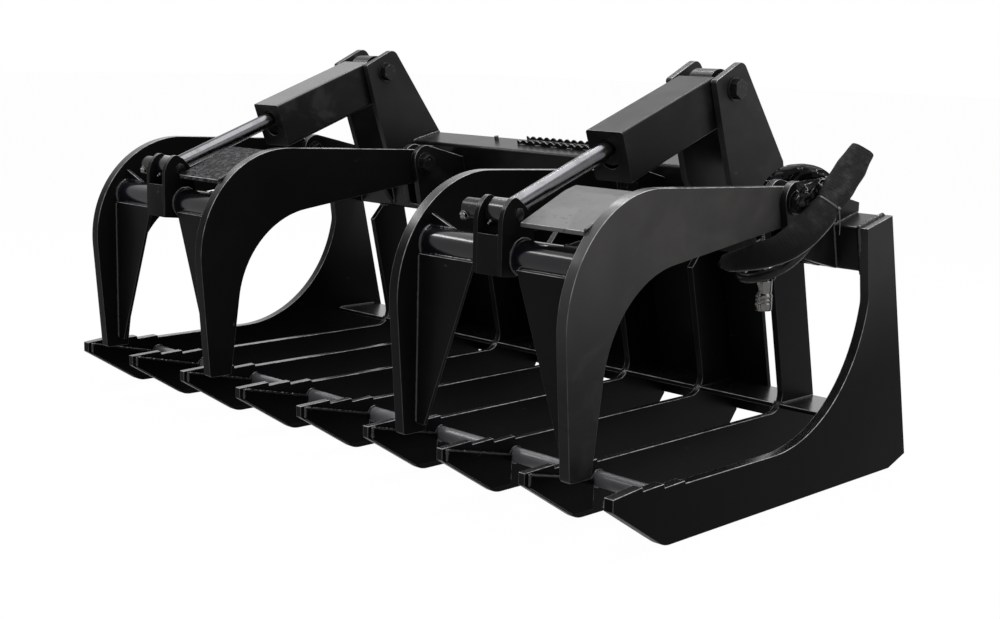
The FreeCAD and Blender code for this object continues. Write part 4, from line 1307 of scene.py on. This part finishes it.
    def across_sleeve(self, frames: Sequence[tuple[Vector, Vector, Vector, Vector]]) -> list[tuple[Vector, Vector, Vector, float]]:
        """Works out how the flattened sleeve lies at each point of its line.

        Args:
            frames: the points with their directions.

        Returns:
            For each point: the point, the sleeve's wide direction, its flat direction and its half width.
        """
        found = []
        run = 0.0
        count = len(frames)
        for i, (point, tangent, side, up) in enumerate(frames):
            if i:
                run += (point - frames[i - 1][0]).length / MM
            towards = (EYE - point).normalized()
            flat = (towards - tangent * towards.dot(tangent)).normalized()
            wide = tangent.cross(flat)
            pinch = 5.0 * math.exp(-((run + self.sleeve_from - self.tie_at) / 16.0) ** 2)
            mouth = 6.0 * max(0.0, 1.0 - 2.5 * (count - 1 - i) / 50.0)
            gather = self.sleeve_gather * max(0.0, 1.0 - run / self.sleeve_open) ** 1.5
            found.append((point, wide, flat, self.sleeve_wide - pinch - mouth - gather))
        return found

    def sleeve(self, lies: Sequence[tuple[Vector, Vector, Vector, float]]) -> bpy.types.Object:
        """Slips a flattened cloth sleeve over a hose, its wide side towards where it is seen from."""
        rings: list[Ring] = []
        inner: list[Ring] = []
        for i, (point, wide, flat, half) in enumerate(lies):
            ring, lining = [], []
            for j in range(48):
                turn = 2 * math.pi * j / 48
                across = math.copysign(abs(math.cos(turn)) ** 0.62, math.cos(turn))
                thick = math.copysign(abs(math.sin(turn)) ** 0.80, math.sin(turn))
                sag = noise.noise(point * 26.0 + Vector((across, thick, 0))) * 1.5
                rib = 0.35 * math.sin(i * 2.1) + 0.5 * noise.noise(Vector((i * 0.6, 0.4 * across, 3.0 + thick)))
                place = wide * ((half + sag) * across) + flat * ((self.sleeve_deep + sag + rib) * thick)
                ring.append(point + place * MM)
                lining.append(point + place * (0.90 * MM))
            rings.append(ring)
            inner.append(lining)
        return loft("woven_sleeve", [(rings + inner[:-12:-1], False)])

    def piping(self, lies: Sequence[tuple[Vector, Vector, Vector, float]]) -> bpy.types.Object:
        """Sews a pale cord along the sleeve's lower edge, as far as the tie."""
        rings = []
        for k in range(1, len(lies)):
            point, wide, flat, half = lies[k]
            if self.sleeve_from + 2.5 * k > self.tie_at - 14.0:
                break
            low = -1.0 if wide.z > 0 else 1.0
            edge = point + (wide * (low * (half + 0.4)) + flat * 2.0) * MM
            tangent = (lies[k][0] - lies[k - 1][0]).normalized()
            rings.append(ring_at(edge, wide, tangent.cross(wide).normalized(), 1.25 * MM, 8))
        return loft("sleeve_piping", [(rings, False)])

    def tie(self, lies: Sequence[tuple[Vector, Vector, Vector, float]]) -> bpy.types.Object:
        """Draws a cable tie round the sleeve, its head at the edge and its tail hanging."""
        at = min(range(1, len(lies) - 1), key=lambda k: abs(self.sleeve_from + 2.5 * k - self.tie_at))
        point, wide, flat, half = lies[at]
        tangent = (lies[at + 1][0] - lies[at - 1][0]).normalized()
        band = []
        for j in range(40):
            turn = 2 * math.pi * j / 40
            across = math.copysign(abs(math.cos(turn)) ** 0.62, math.cos(turn))
            thick = math.copysign(abs(math.sin(turn)) ** 0.80, math.sin(turn))
            out = (wide * across + flat * thick).normalized()
            place = point + (wide * ((half + 0.9) * across) + flat * ((self.sleeve_deep + 0.9) * thick)) * MM
            band.append([place + tangent * (2.4 * MM) - out * (0.6 * MM), place + tangent * (2.4 * MM) + out * (0.7 * MM),
                         place - tangent * (2.4 * MM) + out * (0.7 * MM), place - tangent * (2.4 * MM) - out * (0.6 * MM)])
        low = -1.0 if wide.z > 0 else 1.0
        root = point + (wide * (low * (half - 3.0)) + flat * (self.sleeve_deep * 0.75)) * MM
        head = []
        for along in (0.0, 0.6, 5.4, 6.0):
            size = 3.4 if 0.0 < along < 6.0 else 2.8
            head.append([root + (flat * along + wide * a + tangent * b) * MM
                         for a, b in ((size, size), (-size, size), (-size, -size), (size, -size))])
        tail = []
        for k in range(24):
            run = k / 23
            centre = root + flat * ((4.0 + 7.0 * math.sin(run * 2.2)) * MM) + Vector((1.5 * run, 2.0 * run, -58.0 * run)) * MM
            thin = 2.3 - 0.9 * run
            tail.append([centre + tangent * (a * thin * MM) + flat * (b * 0.55 * MM)
                         for a, b in ((1, 1), (-1, 1), (-1, -1), (1, -1))])
        return loft("sleeve_tie", [(band, True), (head, False), (tail, False)])

    def build(self) -> None:
        """Makes the hoses and all that goes with them."""
        hanging = self.curve("hanging_hose_rubber", self.hanging)
        sleeved = self.curve("sleeved_hose_rubber", self.sleeved)
        self.keep(hanging, "frame", self.paints.rubber, Slot.RUBBER, "hanging_hose")
        self.keep(sleeved, "frame", self.paints.rubber, Slot.RUBBER, "sleeved_hose")
        hanging_line, sleeved_line = self.line_of(hanging), self.line_of(sleeved)
        log.info("hose lengths %.4f %.4f", self.length(hanging_line), self.length(sleeved_line))
        total = self.length(sleeved_line) / MM
        self.sleeve_from = total - 478 + self.sleeve_start
        lies = self.across_sleeve(frames_along(self.stretch(sleeved_line, self.sleeve_from, total - 1)))
        sleeve = self.keep(self.sleeve(lies), "frame", self.paints.nylon, Slot.FABRIC, "hose_sleeve")
        piping = self.keep(self.piping(lies), "frame", self.paints.piping, Slot.FABRIC)
        tie = self.keep(self.tie(lies), "frame", self.paints.tie, Slot.RUBBER)
        film = self.wrap(self.stretch(hanging_line, self.film_from, self.film_to))
        self.keep(film, "frame", self.paints.wrap, Slot.RUBBER)
        loose = self.keep(self.drape(), "frame", self.paints.wrap, Slot.RUBBER)
        coupler = self.coupler()
        round(self.length(hanging_line), 4)
        round(self.length(sleeved_line), 4)

    def coupler(self) -> bpy.types.Object:
        """Turns the crimped ferrule, its nut and the quick coupler below it."""
        top = spot(*self.hanging[-1])
        down = Vector((0, 0, -1))
        crimps = []
        for i in range(7):
            at = 5 + i * 5.2
            crimps += [(at, 14.0), (at + 1.0, 13.1), (at + 3.2, 13.1), (at + 4.2, 14.0)]
        grooves = []
        for at in (142, 150):
            grooves += [(at, 18.9), (at + 0.8, 18.0), (at + 2.2, 18.0), (at + 3.0, 18.9)]
        profile = [(0, 11.4), (0, 13.2), (2, 14.0), *crimps, (44, 14.0), (46, 12.2), (62, 12.2), (62, 8.0),
                   (101, 8.0), (101, 13.6), (104, 16.6), (106, 17.0), (128, 17.0), (130, 16.0), (132, 16.2),
                   (134, 17.4), (138, 18.9), *grooves, (157, 18.9), (166, 19.0), (168.5, 18.4), (170, 17.6),
                   (170, 12.4), (168, 11.6), (167, 9.2), (156, 9.0), (156, 0.1)]
        piece = loft("plated_coupler", [(turned_rings(top, down, profile, 36), False)])
        return self.keep(piece, "frame", self.paints.plated, Slot.BRIGHT_STEEL, "hose_coupler")


@dataclass(frozen=True)
class Lamp:
    """A soft studio light."""

    name: str
    place: tuple[float, float, float]
    aim: tuple[float, float, float]
    size: tuple[float, float]
    power: float

    def light(self) -> bpy.types.Object:
        """Hangs the lamp.

        Returns:
            The light.
        """
        data = bpy.data.lights.new(self.name, "AREA")
        data.shape = "RECTANGLE"
        data.size, data.size_y = self.size
        data.energy = self.power
        lamp = bpy.data.objects.new(self.name, data)
        lamp.location = self.place
        lamp.rotation_mode = "QUATERNION"
        lamp.rotation_quaternion = (Vector(self.aim) - Vector(self.place)).to_track_quat("-Z", "Y")
        bpy.context.scene.collection.objects.link(lamp)
        return lamp


@dataclass
class Studio:
    """The pale floor, the white background, the lamps and the camera."""

    lens: float = 53.70
    turn: tuple[float, float, float] = (79.90160, -1.50459, 44.53702)
    lamps: tuple[Lamp, ...] = (
        Lamp("roof_light", (0.3, 0.4, 3.6), (0.0, 0.0, 0.4), (3.6, 2.6), 105.0),
        Lamp("front_light", (0.2, -3.6, 2.2), (0.0, 0.0, 0.4), (2.2, 1.2), 14.0),
        Lamp("right_light", (3.8, 0.6, 1.9), (0.4, 0.0, 0.5), (2.0, 1.6), 20.0),
        Lamp("edge_light", (-0.2, 1.1, 2.6), (0.0, 0.0, 0.5), (3.0, 0.12), 20.0),
        Lamp("tube_light", (-2.0, -1.3, 2.6), (0.0, -0.4, 0.5), (2.6, 0.22), 31.0),
        Lamp("spark_light", (2.6, -0.4, 3.0), (0.3, 0.0, 0.4), (0.30, 0.30), 20.0),
    )

    def floor(self) -> None:
        """Lays the floor, which keeps the tool's shadow and is pale to the eye."""
        bpy.ops.mesh.primitive_plane_add(size=60.0, location=(0.0, 0.0, -0.0004))
        ground = bpy.context.object
        ground.name = "studio_floor"
        recipe = Recipe("pale_floor")
        diffuse = recipe.signal("ShaderNodeBsdfDiffuse", None, {"Color": (0.82, 0.82, 0.82, 1.0)})
        white = recipe.signal("ShaderNodeEmission", None, {"Color": (1.0, 1.0, 1.0, 1.0), "Strength": 1.0})
        seen = recipe.signal("ShaderNodeLightPath", output="Is Camera Ray")
        glossy = recipe.signal("ShaderNodeLightPath", output="Is Glossy Ray")
        through = recipe.signal("ShaderNodeLightPath", output="Is Transmission Ray")
        share = (seen + glossy + through).at_most(1.0) * 0.975
        mixed = recipe.signal("ShaderNodeMixShader", None, {0: share, 1: diffuse, 2: white})
        recipe.node("ShaderNodeOutputMaterial", None, {"Surface": mixed})
        ground.data.materials.append(recipe.material)

    def world(self) -> None:
        """Makes the background white to the eye and a dim sky to the tool."""
        world = bpy.data.worlds.new("studio_world")
        bpy.context.scene.world = world
        world.use_nodes = True
        nodes, links = world.node_tree.nodes, world.node_tree.links
        nodes.clear()
        path = nodes.new("ShaderNodeLightPath")
        seen = nodes.new("ShaderNodeMath")
        seen.operation = "ADD"
        seen.use_clamp = True
        links.new(path.outputs["Is Camera Ray"], seen.inputs[0])
        links.new(path.outputs["Is Glossy Ray"], seen.inputs[1])
        total = nodes.new("ShaderNodeMath")
        total.operation = "ADD"
        total.use_clamp = True
        links.new(seen.outputs[0], total.inputs[0])
        links.new(path.outputs["Is Transmission Ray"], total.inputs[1])
        dim, white = nodes.new("ShaderNodeBackground"), nodes.new("ShaderNodeBackground")
        dim.inputs["Color"].default_value = (0.95, 0.97, 1.0, 1.0)
        dim.inputs["Strength"].default_value = 0.55
        white.inputs["Color"].default_value = (1.0, 1.0, 1.0, 1.0)
        white.inputs["Strength"].default_value = 1.0
        mixed = nodes.new("ShaderNodeMixShader")
        links.new(total.outputs[0], mixed.inputs[0])
        links.new(dim.outputs[0], mixed.inputs[1])
        links.new(white.outputs[0], mixed.inputs[2])
        out = nodes.new("ShaderNodeOutputWorld")
        links.new(mixed.outputs[0], out.inputs["Surface"])

    def camera(self) -> None:
        """Stands the camera where the photograph was taken from."""
        data = bpy.data.cameras.new("studio_camera")
        data.lens = self.lens
        data.sensor_width = 36.0
        data.sensor_fit = "HORIZONTAL"
        camera = bpy.data.objects.new("studio_camera", data)
        camera.location = EYE
        camera.rotation_euler = Euler([math.radians(a) for a in self.turn], "XYZ")
        bpy.context.scene.collection.objects.link(camera)
        bpy.context.scene.camera = camera

    def build(self) -> None:
        """Sets up the whole studio."""
        self.floor()
        self.world()
        for lamp in self.lamps:
            lamp.light()
        self.camera()
        bpy.context.scene.view_settings.view_transform = "Standard"


def main() -> None:
    """Loads the frame and builds the studio and each sub-assembly on it."""
    logging.basicConfig(level=logging.INFO, format="%(message)s")
    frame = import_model()
    paints = Paints()
    Studio().build()
    for group in (Hoses(frame, paints), Steelwork(frame, paints), Welds(frame, paints), Fittings(frame, paints)):
        group.build()
        group.report()


if __name__ == "__main__":
    main()
